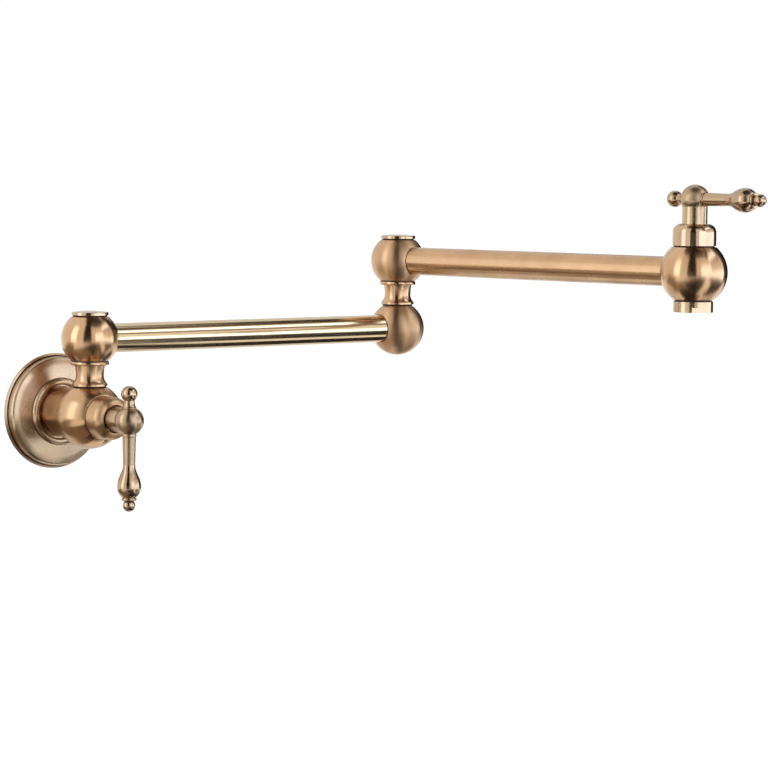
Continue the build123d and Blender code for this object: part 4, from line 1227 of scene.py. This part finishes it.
class POTFILLER_OT_stage(PieceOperator, bpy.types.Operator):
    """Set the camera, the floor and the lights"""

    bl_idname = "pot_filler.stage"
    bl_label = "Stage"

    def execute(self, context):
        size = context.scene.pot_filler.stage
        context.scene.view_settings.view_transform = "Standard"
        bpy.ops.object.camera_add(
            location=(size.x, size.y, size.z), rotation=(pi / 2 - size.pitch, size.roll, size.yaw)
        )
        camera = bpy.context.object
        camera.data.lens = size.lens
        camera.data.sensor_width = SENSOR_WIDTH
        context.scene.camera = camera
        self.make_floor(size)
        self.make_world(context)
        middle = (Vector(cad_box[0]) + Vector(cad_box[1])) / 2
        self.make_studio(size, Studio(middle, size.yaw))
        return {"FINISHED"}

    def make_floor(self, size):
        deselect()
        bpy.ops.mesh.primitive_circle_add(
            vertices=DISC_STEPS, radius=FLOOR_RADIUS, fill_type="NGON", location=(0, 0, size.floor)
        )
        floor = bpy.context.object
        floor.name = "floor"
        material, tree, shader = new_material("pale_floor")
        feed(shader, {"Base Color": (*size.floor_tone, 1), "Roughness": 0.9})
        matt = shader.outputs[0]
        seen = background_rays(tree)
        strength = add_node(tree, "Math", {0: seen, 1: size.floor_glow}, operation="MULTIPLY")
        glow = add_node(tree, "Emission", {"Strength": strength})
        white = add_node(tree, "MixShader", {0: 0.6, 1: matt, 2: glow})
        both = add_node(tree, "MixShader", {0: seen, 1: matt, 2: white})
        feed(tree.nodes["Material Output"], {"Surface": both})
        floor.data.materials.append(material)

    def make_world(self, context):
        world = bpy.data.worlds.new("studio")
        world.use_nodes = True
        context.scene.world = world
        tree = world.node_tree
        seen = background_rays(tree)
        strength = add_node(tree, "MapRange", {"Value": seen, "To Min": 0.95, "To Max": 1.0})
        feed(tree.nodes["Background"], {"Color": (1, 1, 1, 1), "Strength": strength})

    def make_studio(self, size, studio):
        felts = ("dark_felt", "tan_felt", "grey_felt")
        cloths = {name: self.make_cloth(name, size) for name in felts}
        for name, turns, heights, distance, cloth in FLAGS:
            studio.flag(name, turns, heights, distance, cloths[cloth])
        for name, turns, heights, distance, glow, tone in SOFTBOXES:
            studio.softbox(name, turns, heights, distance, glow, getattr(size, tone))
        for name, x, y, cloth in MATS:
            studio.mat(name, x, y, size.floor + MAT_HEIGHT, cloths[cloth])
        turn, distance, rise, inner, outer = CANOPY
        canopy = Seat(studio.place(turn, 0, distance) + UP * rise, UP, lower_way)
        ring = turned("ring", canopy, [(inner, 0), (outer, 0)], DISC_STEPS)
        studio.hang(ring, "flag_ceiling", cloths["dark_felt"])

    def make_cloth(self, name, size):
        cloth, _, shader = new_material(name)
        feed(shader, {"Base Color": (*getattr(size, name), 1), "Roughness": 1.0})
        return cloth


class POTFILLER_PT_panel(bpy.types.Panel):
    """Lists the pieces of the pot filler"""

    bl_label = "Pot Filler"
    bl_idname = "POTFILLER_PT_panel"
    bl_space_type = "VIEW_3D"
    bl_region_type = "UI"
    bl_category = "Pot Filler"

    def draw(self, context):
        for step in STEPS:
            self.layout.operator(step.bl_idname)


STEPS = (
    POTFILLER_OT_flange,
    POTFILLER_OT_inlet,
    POTFILLER_OT_valves,
    POTFILLER_OT_bonnets,
    POTFILLER_OT_handles,
    POTFILLER_OT_swivels,
    POTFILLER_OT_arms,
    POTFILLER_OT_aerator,
    POTFILLER_OT_inner_finishes,
    POTFILLER_OT_stage,
)
CLASSES = (
    FlangeSizes, InletSizes, ValveSizes, HandleSizes, GrooveSizes, SwivelSizes, ArmSizes,
    SpoutSizes, FinishSettings, StageSettings, PotFillerSettings, *STEPS, POTFILLER_PT_panel,
)


def register():
    for item in CLASSES:
        bpy.utils.register_class(item)
    bpy.types.Scene.pot_filler = PointerProperty(type=PotFillerSettings)


def unregister():
    del bpy.types.Scene.pot_filler
    for item in reversed(CLASSES):
        bpy.utils.unregister_class(item)


def main():
    register()
    for step in STEPS:
        group, name = step.bl_idname.split(".")
        getattr(getattr(bpy.ops, group), name)()


if __name__ == "__main__":
    main()
